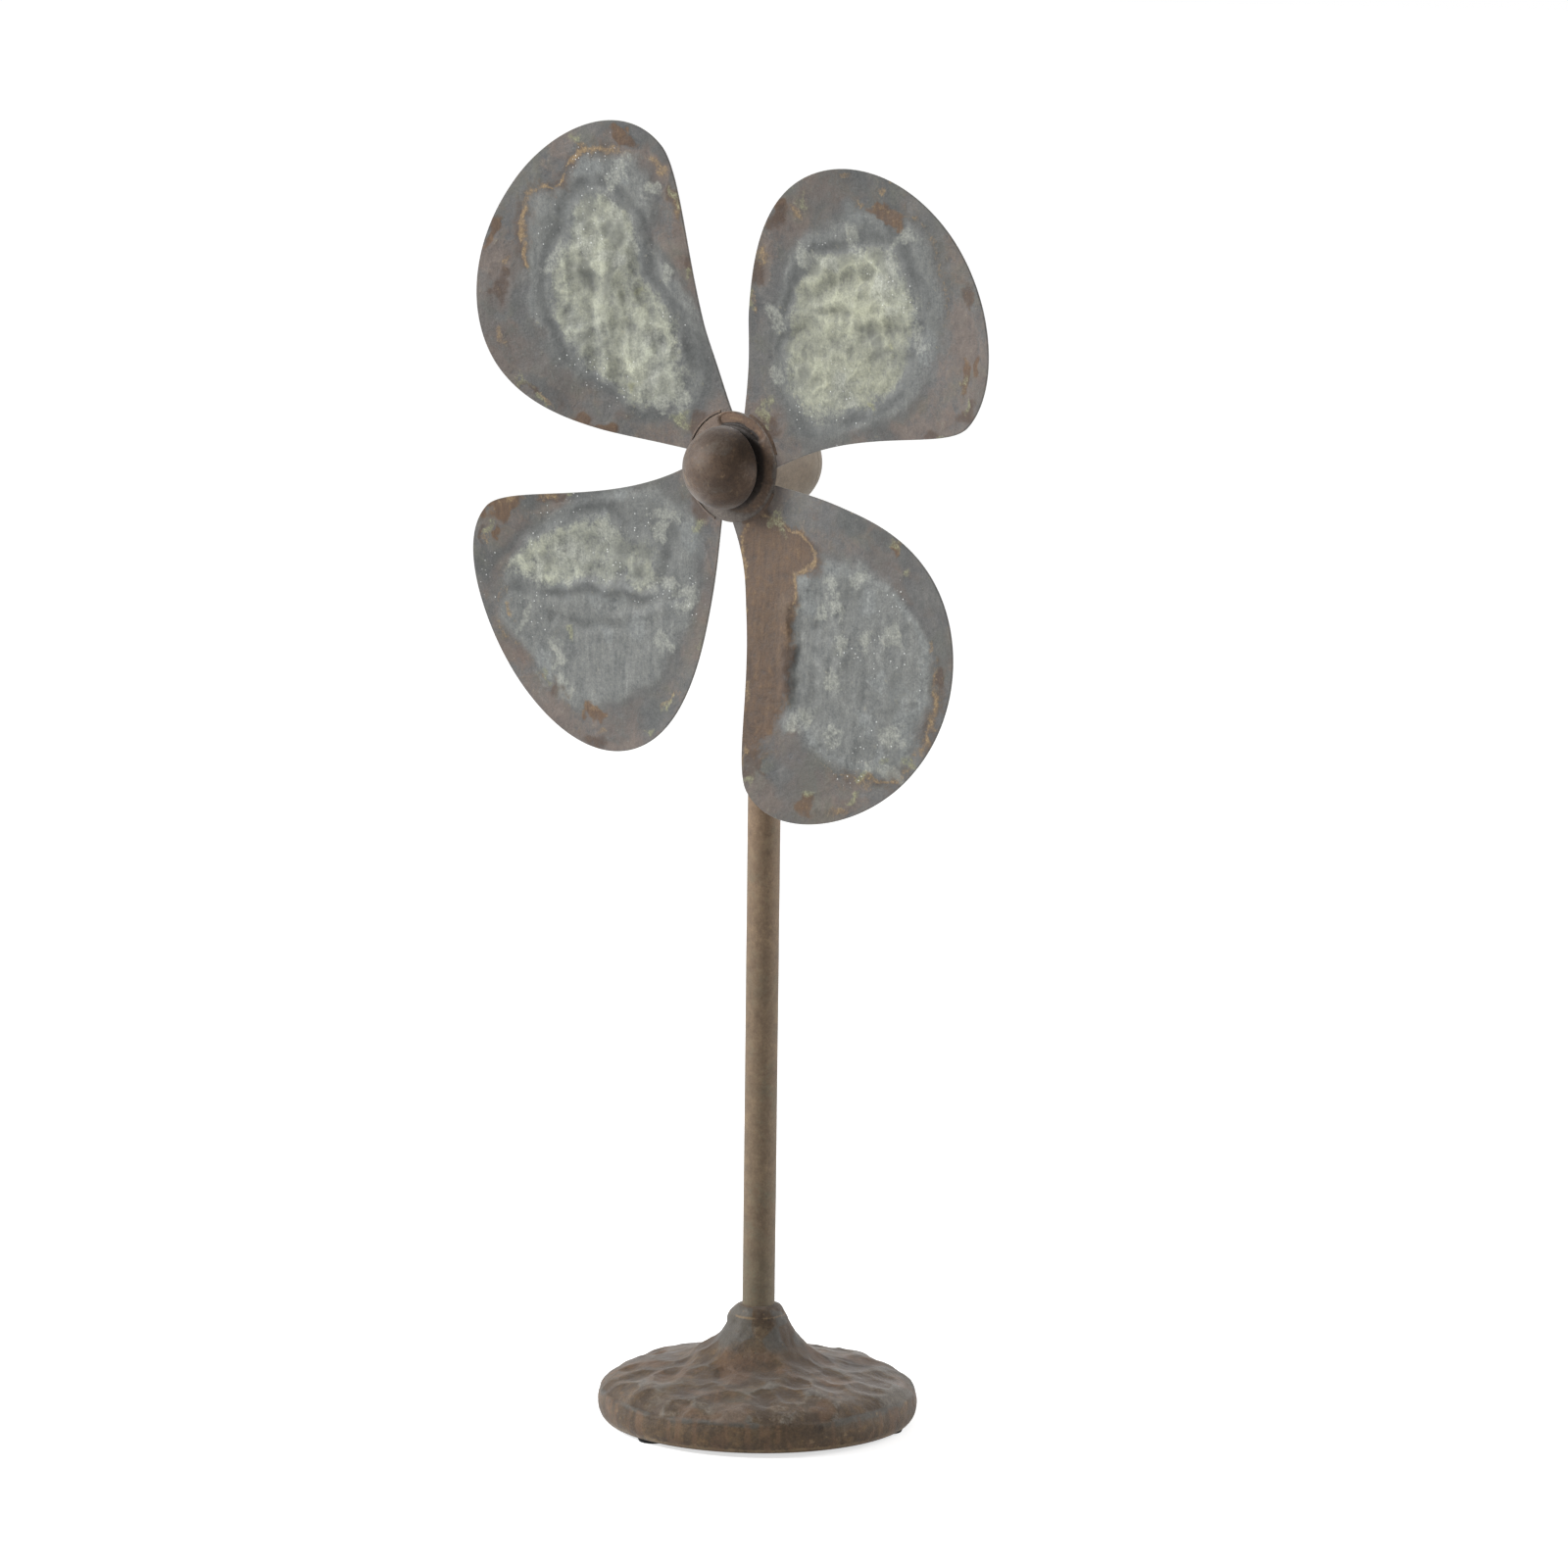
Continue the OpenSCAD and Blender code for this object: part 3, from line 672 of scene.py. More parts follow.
# angle and cone in degrees. zinc: pale worn middle; cream: its chalky heart; rust: a rusted
# streak; each oval is (along, across, half length, half width, turn). bloom and warm: strength
# and warmth of the cream; burn: orange rust near the tip.
BLADES = {
    "blade_top_left": dict(
        angle=132.0, cone=7.0, seed=11, burn=1.0,
        zinc=[(125, 0, 75, 50, 0), (165, -35, 35, 45, 0)],
        cream=[(115, 5, 58, 36, 0), (155, -25, 32, 28, 0)], rust=[]),
    "blade_top_right": dict(
        angle=42.0, cone=6.5, seed=23, warm=0.45, burn=0.4,
        zinc=[(135, 0, 80, 55, 0)], cream=[(125, 0, 60, 40, 0)], rust=[]),
    "blade_bottom_left": dict(
        angle=222.0, cone=-3.0, seed=37, bloom=0.85, burn=0.4,
        zinc=[(130, -5, 80, 60, -10)],
        cream=[(130, -35, 50, 20, -30), (95, 0, 18, 14, 0)], rust=[]),
    "blade_bottom_right": dict(
        angle=310.0, cone=5.0, seed=53, burn=0.8,
        zinc=[(150, 5, 68, 60, 0)], cream=[],
        rust=[(60, -5, 34, 22, 40), (75, -25, 40, 22, -30), (110, -55, 55, 22, -35)]),
}
MASKS = ("zone", "cream", "tide", "rust", "orange", "yellow", "pale", "blue", "brown", "shade",
         "specks", "deep", "warm", "cut")

# Scattered stains: mask, count, size
EDGE_STAINS = [("brown", 10, 24), ("rust", 4, 10), ("orange", 6, 6), ("yellow", 6, 6),
               ("deep", 5, 10), ("tide", 3, 18)]
ROOT_STAINS = [("brown", 36, 2, 14, 16, 0), ("deep", 37, 0, 8, 9, 0), ("yellow", 45, 8, 8, 5, 0)]
INNER_STAINS = [("pale", 16, 9), ("blue", 10, 12), ("shade", 12, 10), ("specks", 7, 20),
                ("yellow", 2, 5)]


def blade_forward(along, across, cone):
    """Height of the cupped and coned sheet."""
    past = along - PLATE_R - 3
    eased = smooth(0, 40, past)
    rise = np.maximum(0, past) * math.tan(math.radians(cone)) * (0.25 + 0.75 * eased)
    return rise + eased * across * across / (2 * CUP_R)


def blade_edge(shape, u):
    """Edge of a blade at u (root 0, tip 1), as (along, across)."""
    u = np.asarray(u, float)
    lean, reach, split = math.radians(shape["lean"]), shape["reach"], shape["split"]
    root_x, root_y = shape["root"]
    widest = shape["widest"]
    inner = bezier((root_x, root_y),
                   (root_x + reach * math.cos(lean), root_y + reach * math.sin(lean)),
                   (shape["ease_in"], widest[1]), widest, u / split)
    outer = bezier(widest, (shape["ease_out"], widest[1]), (BLADE_TIP[0], shape["tip_ease"]),
                   BLADE_TIP, 0.9 * (u - split) / (1 - split))
    return np.where((u < split)[:, None], inner, outer)


def edge_stains(seed):
    """Stains that follow the cut edge of a blade, where the zinc has gone first."""
    rnd = np.random.RandomState(seed + 900)
    found = []
    for kind, count, size in EDGE_STAINS:
        for _ in range(count):
            u = 0.22 + 0.76 * rnd.rand()
            shape = LOW_EDGE if rnd.rand() < 0.5 else HIGH_EDGE
            (x0, y0), (x1, y1) = blade_edge(shape, [u - 0.02, u])
            pull = 0.98 - 0.12 * rnd.rand()
            turn = math.degrees(math.atan2(y1 - y0, x1 - x0))
            found.append((kind, x1 * (0.3 + 0.7 * pull), y1 * pull,
                          size * (0.6 + 0.7 * rnd.rand()), size * (0.3 + 0.3 * rnd.rand()), turn))
    return found + ROOT_STAINS


def inner_stains(seed, zinc):
    """Chalky, bluish and dark patches scattered over the worn middle."""
    rnd = np.random.RandomState(seed + 950)
    found = []
    for kind, count, size in INNER_STAINS:
        for _ in range(count):
            cx, cy, half_x, half_y, _ = zinc[rnd.randint(len(zinc))]
            out, angle = math.sqrt(rnd.rand()), 2 * math.pi * rnd.rand()
            found.append((kind, cx + half_x * out * math.cos(angle),
                          cy + half_y * out * math.sin(angle), size * (0.6 + 0.7 * rnd.rand()),
                          size * (0.4 + 0.4 * rnd.rand()), 180 * rnd.rand()))
    return found


def hand_creases(seed):
    """Creases beaten slantwise across the cup: (points, width, height)."""
    rnd = np.random.RandomState(seed + 700)
    found = []
    for i in range(6):
        slant = math.radians(148 + 26 * (rnd.rand() - 0.5))
        cx, cy = 132 + 50 * (rnd.rand() - 0.5), -6 + 60 * (rnd.rand() - 0.5)
        line = [(cx + d * math.cos(slant), cy + d * math.sin(slant) + 8 * (rnd.rand() - 0.5))
                for d in (-34, -17, 0, 17, 34)]
        found.append((line, 3.6 + 3.0 * rnd.rand(), (1.0 + 0.9 * rnd.rand()) * (-1) ** i))
    return found


def seeded_noise(points, seed):
    """clouds and noise at fixed points, whose seeds are given as offsets."""
    def cloud(size, octaves, offset):
        return clouds(points, size, octaves, seed + offset)

    def grain(size, offset):
        return noise(points, size, seed + offset)

    return cloud, grain


def paint_blade(spec, along, across, points):
    """Weathering masks, the warped coordinates and the signed distance to the zinc."""
    seed = spec["seed"]
    cloud, grain = seeded_noise(points, seed)
    masks = {kind: np.zeros(len(along)) for kind in MASKS}

    def stain(kind, amount):
        masks[kind] = np.maximum(masks[kind], amount)

    # warped coordinates give the painted areas a natural, wandering edge
    warp_x = along + 9 * (cloud(26, 3, 0) - 0.5) + 3.5 * (grain(6, 3) - 0.5)
    warp_y = across + 9 * (cloud(26, 3, 5) - 0.5) + 3.5 * (grain(6, 8) - 0.5)
    # the ovals are bent out of shape more strongly, so that no patch reads as round
    oval_x = warp_x + 26 * (cloud(46, 2, 85) - 0.5)
    oval_y = warp_y + 26 * (cloud(46, 2, 86) - 0.5)
    zone = ovals(oval_x, oval_y, spec["zinc"])
    masks["zone"] = smooth(-9, 8, zone)

    # width and strength of the lines along each patch
    wander = 0.65 + 0.7 * grain(12, 30)
    broken = 0.6 + 0.4 * smooth(0.3, 0.55, grain(16, 33))
    thin = 0.14 + 1.0 * grain(7, 34)
    if spec["rust"]:
        streak = ovals(oval_x, oval_y, spec["rust"])
        masks["rust"] = smooth(-4, 5, streak)
        masks["zone"] *= 1 - 0.8 * masks["rust"]
        stain("deep", 0.9 * hump(streak, 2, 5.0) * smooth(0.4, 0.6, grain(20, 35)))
        stain("orange", 1.4 * hump(streak, 3, 2.2 * thin) * broken * smooth(110, 90, along))
    # tide lines left by drying water, around the chalky heart and again further out
    if spec["cream"]:
        cream = ovals(oval_x, oval_y, spec["cream"])
        masks["cream"] = smooth(-5.5, 6.5, cream) * spec.get("bloom", 1.0)
        stain("specks", 0.7 * hump(cream, -9, 4.5) * smooth(0.45, 0.62, grain(26, 60)))
        stain("tide", hump(cream, -6, 4.4 * wander) * broken)
    else:
        stain("blue", hump(zone, 4, 5.0 * wander) * broken)
    stain("tide", 0.7 * hump(zone, -3, 4.0 * wander) * broken)
    # fresh orange rust where the zinc stops short of the tip
    burnt = spec["burn"] * smooth(172, 190, along) * broken
    stain("deep", 0.95 * hump(zone, -3, 6.0) * burnt)
    stain("orange", 1.5 * hump(zone, -3, 2.6 * thin) * burnt)
    # scattered spots
    spot_x = warp_x + 7.0 * (cloud(9, 3, 45) - 0.5) * 2
    spot_y = warp_y + 7.0 * (cloud(9, 3, 47) - 0.5) * 2
    for kind, *patch in edge_stains(seed) + inner_stains(seed, spec["zinc"]):
        stain(kind, spot(spot_x, spot_y, *patch))
    # broad brown and slate clouds outside the zinc, and a brown root
    bare = 1 - masks["zone"]
    stain("tide", 0.62 * (smooth(0.50, 0.64, cloud(30, 3, 42)) * bare))
    masks["brown"] *= 1 - 0.6 * masks["zone"]
    stain("brown", 0.7 * (smooth(0.44, 0.62, cloud(40, 3, 40)) * bare))
    stain("brown", 0.9 * smooth(46, 30, along))
    masks["warm"] = np.clip(spec.get("warm", 0.25) + 1.2 * (cloud(30, 2, 79) - 0.5), 0, 1)
    return masks, warp_x, warp_y, zone


def beat_blade(spec, along, across, points, masks, warp_x, warp_y, zone):
    """Hand-beaten relief: returns its height and adds the relief mask, which holds painted light on the crests and
    painted shade in the hollows.
    """
    seed = spec["seed"]
    cloud, grain = seeded_noise(points, seed)
    share = np.linspace(0, 1, 90)
    ring = np.vstack([blade_edge(LOW_EDGE, share), blade_edge(HIGH_EDGE, share)[::-1]])
    edge, _ = line_distance(along, across, ring[::2], closed=True)
    # fades out at the edge and towards the hub plate
    free = smooth(0, 9, edge) * smooth(44, 74, along)

    # marks drawn out along the vertical, whichever way the blade points
    angle = math.radians(spec["angle"])
    c, s = math.cos(angle), math.sin(angle)
    upright = np.stack([along * c - across * s, (along * s + across * c) * 0.42,
                        np.full_like(along, seed * 7.0)], -1)
    beaten = 1 - np.abs(2 * clouds(upright, 12, 2, seed + 74) - 1)

    def over_blade(rnd):
        return 55 + 165 * rnd.rand(), -90 + 170 * rnd.rand()

    dent_x = along + 5 * (cloud(14, 2, 76) - 0.5)
    dent_y = across + 5 * (cloud(14, 2, 77) - 0.5)
    carve, lowest, gap = dimples(dent_x, dent_y, seed, count=250, spread=over_blade,
                                 radius=(4.8, 8.6), depth=(0.4, 1.2), softness=0.10, gap=0.80)
    # thin painted highlights along the crests where two dimples meet
    crest = hump(gap, 0, 0.17) * smooth(-0.7, -0.1, lowest) * smooth(0.40, 0.60, cloud(18, 2, 78))

    # small marks, strongest in the chalky heart
    inner = masks["cream"] if spec["cream"] else smooth(-4, 10, zone) * 0.45
    marks = 0.7 * (beaten - 0.78) + 1.0 * (cloud(14, 2, 72) - 0.5) + 0.75 * (carve + 0.5)
    local = (0.18 + 0.82 * inner) * marks
    local = local + 0.75 * (grain(4.6, 73) - 0.5) * (0.35 + 0.65 * inner)

    # broad swells, the raised zinc, the groove around the cream, and the creases
    lift = 2.2 * (cloud(62, 2, 70) - 0.5) + 1.1 * (grain(24, 71) - 0.5)
    lift += local + 1.1 * smooth(-8, 8, zone)
    if spec["cream"]:
        lift -= 0.85 * hump(ovals(along, across, spec["cream"]), -4.5, 3.8)
    fold = np.zeros(len(along))
    crease_x, crease_y = warp_x * 0.6 + along * 0.4, warp_y * 0.6 + across * 0.4
    for line, width, height in hand_creases(seed):
        distance, t = line_distance(crease_x, crease_y, line)
        fold += height * hump(distance, 0, width) * smooth(0, 0.12, t) * smooth(0, 0.12, 1 - t)
    lift = (lift + fold) * free
    # painted light and shade for the relief mask: crests, creases and dimple crests lighter, hollows darker
    shine = 0.34 * local + 0.17 * fold + 0.34 * crest * (0.25 + 0.75 * inner)
    masks["relief"] = np.clip(0.5 + shine * free, 0, 1)
    # slight wander of the whole blade, edge included
    return lift + 0.9 * (grain(80, 90) - 0.5) * smooth(60, 110, along)


def back_mask(kind, values, along, across, patchy):
    """The front mask as changed for the back of the sheet."""
    if kind == "cream":
        return 0.55 * values * smooth(0.35, 0.65, patchy)
    if kind in ("orange", "yellow"):
        return 0.85 * spot(along, across, 120, 30, 20, 14, 0) * (kind == "orange")
    if kind == "brown":
        return np.maximum(values, smooth(0.42, 0.62, patchy))
    if kind in ("rust", "deep"):
        return smooth(0.58, 0.7, patchy) * (1.0 if kind == "rust" else 0.4)
    # the back gets the relief's painted light and shade turned over
    return 1 - values if kind == "relief" else values


def build_blade(name, spec):
    u = np.linspace(0, 1, BLADE_ROWS + 1)
    v = np.linspace(0, 1, BLADE_COLUMNS + 1)
    low, high = blade_edge(LOW_EDGE, u), blade_edge(HIGH_EDGE, u)
    tip_bulge = (u ** 8)[:, None] * 4 * (v * (1 - v))
    along = (low[:, :1] + (high[:, :1] - low[:, :1]) * v + tip_bulge).ravel()
    across = (low[:, 1:] + (high[:, 1:] - low[:, 1:]) * v).ravel()
    points = np.stack([along, across, np.full_like(along, spec["seed"] * 31.0)], -1)
    masks, warp_x, warp_y, zone = paint_blade(spec, along, across, points)
    lift = beat_blade(spec, along, across, points, masks, warp_x, warp_y, zone)

    forward = blade_forward(along, across, spec["cone"])
    front = np.stack([along, across, forward + lift + SHEET_T / 2], -1)
    back = np.stack([along, across, forward + 0.92 * lift - SHEET_T / 2], -1)

    # a third ring of points rounds the cut edge between front and back
    columns = BLADE_COLUMNS + 1
    loop = ([i * columns for i in range(BLADE_ROWS)]
            + [BLADE_ROWS * columns + j for j in range(BLADE_COLUMNS)]
            + [i * columns + BLADE_COLUMNS for i in range(BLADE_ROWS, 0, -1)]
            + list(range(BLADE_COLUMNS, 0, -1)))
    rim = np.stack([along, across], -1)[loop]
    tangent = np.roll(rim, -1, 0) - np.roll(rim, 1, 0)
    outward = np.stack([tangent[:, 1], -tangent[:, 0]], -1)
    outward /= np.linalg.norm(outward, axis=1, keepdims=True)
    rim_z = (front[loop, 2] + back[loop, 2]) / 2
    flat = np.vstack([front, back, np.column_stack([rim + CUT_BULGE * outward, rim_z])])

    angle = math.radians(spec["angle"])
    c, s = math.cos(angle), math.sin(angle)
    x, y = flat[:, 0], flat[:, 1]
    placed = np.stack([x * c - y * s, x * s + y * c, flat[:, 2] + BLADE_MID], -1)

    count = len(along)
    index = np.arange(count).reshape(BLADE_ROWS + 1, columns)
    quads = [index[:-1, :-1], index[1:, :-1], index[1:, 1:], index[:-1, 1:]]
    quads = np.stack(quads, -1).reshape(-1, 4)
    faces = quads.tolist() + (quads[:, ::-1] + count).tolist()
    for i, here in enumerate(loop):
        j = (i + 1) % len(loop)
        there, mid_here, mid_there = loop[j], 2 * count + i, 2 * count + j
        faces.append((there, here, mid_here, mid_there))
        faces.append((mid_there, mid_here, here + count, there + count))

    patchy = clouds(points + 500, 40, 3, spec["seed"] + 99)
    attributes = {}
    for kind, values in masks.items():
        behind = back_mask(kind, values, along, across, patchy)
        around = np.ones(len(loop)) if kind == "cut" else values[loop]
        attributes[kind] = np.concatenate([values, behind, around])
    make_object(name + "_sheet", name, "weathered_sheet", "rotor", to_axis(placed), faces,
                sharp=50, attributes=attributes)


for blade_name, blade_spec in BLADES.items():
    build_blade(blade_name, blade_spec)

# ---------------------------------------------------------------------------
# base casting: revolved body with a chipped, stone-like top
# ---------------------------------------------------------------------------

BASE_Z = 3.0  # underside of the casting, level with the shoulder of the feet
BASE_SEGMENTS = 420
POST_R = 10.0
SOCKET_Z = 32.0  # floor of the socket, where the post ends

# Inside and underside of the casting: (radius, height)
BASE_UNDER = [
    (POST_R, 73.2), (POST_R, SOCKET_Z), (5.25, SOCKET_Z), (5.25, 24), (15, 24), (15, 20),
    (24, 20), (24, 27), (61, 22), (73, 11), (73, BASE_Z), (94.4, BASE_Z),
]


def base_top():
    """Upper outline (radius, height), evenly spaced: rolled rim, shoulder, hollow rise, boss."""
    rim, rise, neck, lip = (92, 23), (42, 37.5), (18.5, 60), (10.9, 70.2)
    t = np.linspace(0, 1, 225)
    top = np.vstack([
        bezier((95, 0), (100.1, 5), (99.8, 17), rim, t),
        bezier(rim, (85, 28.5), (58, 31), rise, t)[1:],
        bezier(rise, (27, 43.5), (21, 55), neck, t)[1:],
        bezier(neck, (17, 64), (15, 68.5), lip, t)[1:],
    ]) + (0, BASE_Z)
    length = np.concatenate([[0], np.cumsum(np.hypot(*np.diff(top, axis=0).T))])
    even = np.linspace(0, length[-1], 210)
    return np.stack([np.interp(even, length, top[:, 0]), np.interp(even, length, top[:, 1])], -1)


def build_base():
    top = base_top()
    profile = np.vstack([top, densify(BASE_UNDER, 4.0)])
    points, normals, faces = revolve(profile, BASE_SEGMENTS)
    angle, r = polar(points)
    z = points[:, 2]
    row = np.arange(len(profile))
    outside = np.repeat(row < len(top), BASE_SEGMENTS)

    def cloud(size, octaves, seed):
        return clouds(points, size, octaves, seed)

    def grain(size, seed):
        return noise(points, size, seed)

    # shallow overlapping scoops, like a roughly chipped stone
    warp_x = points[:, 0] + 6.0 * (cloud(17, 2, 81) - 0.5) + 2.2 * (grain(5, 82) - 0.5)
    warp_y = points[:, 1] + 6.0 * (cloud(17, 2, 83) - 0.5) + 2.2 * (grain(5, 84) - 0.5)

    def over_top(rnd):
        radius, turn = 24 + 76 * rnd.rand() ** 0.75, 2 * math.pi * rnd.rand()
        return radius * math.cos(turn), radius * math.sin(turn)

    carve, lowest, gap = dimples(warp_x, warp_y, 19, count=84, spread=over_top,
                                 radius=(9.0, 15.0), depth=(1.1, 3.0), softness=0.22, gap=0.74)

    # the chipped top meets the smooth rim along a wavy line
    ring = np.stack([np.cos(angle) * 60, np.sin(angle) * 60, 0 * r], -1)
    over_edge = z - (20.0 + 3.4 * (clouds(ring, 26, 2, 5) - 0.5))
    on_top = outside & (z > 10)
    tops = smooth(-1.0, 2.4, over_edge) * smooth(19, 34, r) * on_top
    boss = smooth(36, 22, r) * on_top * smooth(11.0, 13.5, r)
    rim = (1 - smooth(-0.5, 3.0, over_edge)) * outside

    lift = tops * (carve + 0.55 + 1.5 * (cloud(34, 3, 91) - 0.5) + 0.5 * (grain(6, 92) - 0.5))
    lift += boss * (3.0 * (cloud(15, 3, 93) - 0.5) + 0.5 * (grain(5, 95) - 0.5))
    # two lumps on the -X side of the boss, and a hollow towards +X +Y
    left = toward(angle, 200)
    lift += 1.5 * hump(z, 66, 5.0) * smooth(0.2, 1.0, left) * on_top * smooth(10.5, 12.5, r)
    lift += 2.0 * hump(r, 34, 8.0) * smooth(0.0, 1.0, left) * on_top
    lift -= 2.6 * hump(r, 50, 16.0) * smooth(0.1, 1.0, toward(angle, 60)) * on_top
    # worn rim and the raised line above it
    lift += rim * (0.7 * (cloud(24, 3, 94) - 0.5) + 0.3 * (grain(4, 96) - 0.5)) * smooth(3, 7, z)
    lift += 0.55 * (hump(over_edge, 0.4, 1.5) * outside * (r > 88))
    # only the outside moves, and it fades at both ends of its outline
    fade = np.where(row < len(top), smooth(0, 5, len(top) - 1 - row), 0) * smooth(0, 3, row)
    moved = points + normals * (lift * np.repeat(fade, BASE_SEGMENTS))[:, None]
    moved[:, 2] = np.where(outside, np.maximum(moved[:, 2], BASE_Z), moved[:, 2])

    # crests where the scoops meet are painted lighter: partly the casting's own blue-grey, partly painted
    # highlight
    crest = hump(gap, 0, 0.42) * smooth(-1.5, -0.15, lowest)
    crest = crest * (0.25 + 0.75 * smooth(0.38, 0.62, cloud(22, 2, 98)))
    pits = smooth(0.74, 0.80, grain(3.2, 97)) * rim * smooth(0.5, 0.7, grain(30, 107))
    # painted light in patches on the outer shoulder
    painted_shoulder_light = tops * smooth(0.46, 0.66, cloud(16, 3, 108)) * smooth(58, 84, r)
    scoops = tops * smooth(-0.5, -2.0, lowest) * smooth(0.3, 0.6, grain(12, 101))
    # painted shade in patches on the inner rise
    rise = on_top * smooth(66, 34, r) * smooth(0.30, 0.55, cloud(20, 2, 113))
    edge_line = hump(over_edge, 0.6, 2.0) * outside * (r > 86)
    edge_line = edge_line * (0.35 + 0.65 * smooth(0.35, 0.55, grain(17, 102)))
    boss_lip = hump(z, 67.2, 0.8) * on_top * (r < 22) * smooth(0.35, 0.55, grain(8, 105))
    runs = ring + np.stack([0 * z, 0 * z, 0.12 * z], -1)
    masks = {
        # ridge carries the shoulder's painted light, hollow the rise's painted shade
        "ridge": tops * crest + 0.55 * painted_shoulder_light,
        "hollow": scoops + 0.75 * rise,
        "slate": boss * smooth(0.42, 0.60, cloud(13, 2, 103))
        + 0.4 * rim * smooth(0.55, 0.7, cloud(18, 3, 109)) + 0.95 * edge_line,
        "ochre": boss_lip + 0.8 * pits + 0.9 * outside * (r > 90) * hump(z, 4.6, 1.8),
        "red": smooth(0.50, 0.66, cloud(20, 3, 110)) * tops
        + rim * smooth(0.46, 0.66, clouds(runs, 2.2, 2, 111)),
    }
    make_object("base_casting_stone", "base_casting", "rusted_casting", "stand", moved * MM, faces,
                sharp=55, attributes={key: np.clip(mask, 0, 1) for key, mask in masks.items()})


build_base()

# ---------------------------------------------------------------------------
# turned shapes with soft corners and light wear; profiles are (radius, axial)
# ---------------------------------------------------------------------------


def turned(name, replaced, slot, body, profile, segments, wear, size, seed, worn,
           marks=None, dent=None, place=to_axis):
    """wear: depth of the unevenness, size: its breadth, worn: where it applies."""
    points, normals, faces = revolve(profile, segments)
    lift = wear * 2 * (clouds(points, size, 3, seed) - 0.5)
    if dent is not None:
        lift = lift + dent(points)
    points = points + normals * (lift * worn(points))[:, None]
    make_object(name, replaced, slot, body, place(points), faces,
                sharp=45, attributes=marks(points) if marks else None)


def ball_arc(radius, centre, angles, side, least=0.25):
    """Arc of a ball about the axis; side +1 is forward, least is the smallest radius allowed."""
    return [(max(radius * math.cos(t), least), centre + side * radius * math.sin(t))
            for t in angles]


# post tube
POST_BORE = 8.0
POST_TOP = 582
post = rounded([(POST_R, SOCKET_Z), (POST_R, POST_TOP), (POST_BORE, POST_TOP),
                (POST_BORE, SOCKET_Z), (POST_R, SOCKET_Z)], [0, 0.5, 0.3, 0.3, 0], 3)
turned("post_tube_worn", "post_tube", "rusted_post", "stand",
       densify(post[:-1], 5.0, closed=True), 128, wear=0.10, size=24, seed=201,
       worn=lambda p: (p[:, 2] > 74) * (polar(p)[1] > POST_R - 0.5), place=lambda p: p * MM)

# head housing: bullet shell, open at the front bore and at the rear seam
HEAD_R = 28.4
HEAD_FRONT = 29
HEAD_BORE = 6.0
BALL_Z = -7    # centre of the ball that shapes the rear
SEAM_DROP = 7  # from there back to the seam
SEAM_Z = BALL_Z - SEAM_DROP
SEAM_ANGLE = math.asin(SEAM_DROP / HEAD_R)
shell = rounded([(HEAD_BORE, HEAD_FRONT), (HEAD_R, HEAD_FRONT), (HEAD_R, BALL_Z)], [0, 1.6, 0], 6)
shell = shell[:-1] + ball_arc(HEAD_R, BALL_Z, np.linspace(0, SEAM_ANGLE, 8), side=-1)
shell += [(HEAD_R - 4.0, SEAM_Z), (HEAD_R - 4.0, 25), (10.0, 25), (10.0, SEAM_Z + 0.1),
          (HEAD_BORE, SEAM_Z + 0.1)]
turned("head_housing_shell", "head_housing", "rusted_head", "stand",
       densify(shell, 2.5, closed=True)[::-1], 160, wear=0.12, size=18, seed=211,
       worn=lambda p: polar(p)[1] > 26)

# rear cap: dome with spigot
CAP_WALL = 2.4
cap = ball_arc(HEAD_R, BALL_Z, np.linspace(SEAM_ANGLE + 0.012, math.pi / 2, 40), side=-1)
cap += ball_arc(HEAD_R - CAP_WALL, BALL_Z, np.linspace(math.pi / 2, 0.30, 30), side=-1)
cap += [(22.4, -14.2), (22.4, -10.2), (24.3, -10.2), (24.3, SEAM_Z),
        (HEAD_R * math.cos(SEAM_ANGLE) - 0.3, SEAM_Z - 0.05)]
turned("rear_cap_dome", "rear_cap", "rusted_head", "stand", np.array(cap)[::-1], 160,
       wear=0.15, size=20, seed=221, worn=lambda p: p[:, 2] < -16)

# hub plate: disc whose rim is dressed down thin onto the blade roots
PLATE_BORE = 4.1
PLATE_FRONT = 37.5
LIP_ANGLE = 74  # middle of the raised lip, degrees up from +X
plate = rounded([(PLATE_BORE, PLATE_BACK), (PLATE_R - 0.2, PLATE_BACK), (PLATE_R, 35.12),
                 (31.8, 35.7), (26, 37.0), (21, 37.45), (12, PLATE_FRONT),
                 (PLATE_BORE, PLATE_FRONT)], [0, 0.05, 0.1, 3.0, 4.0, 4, 3, 0], 5)


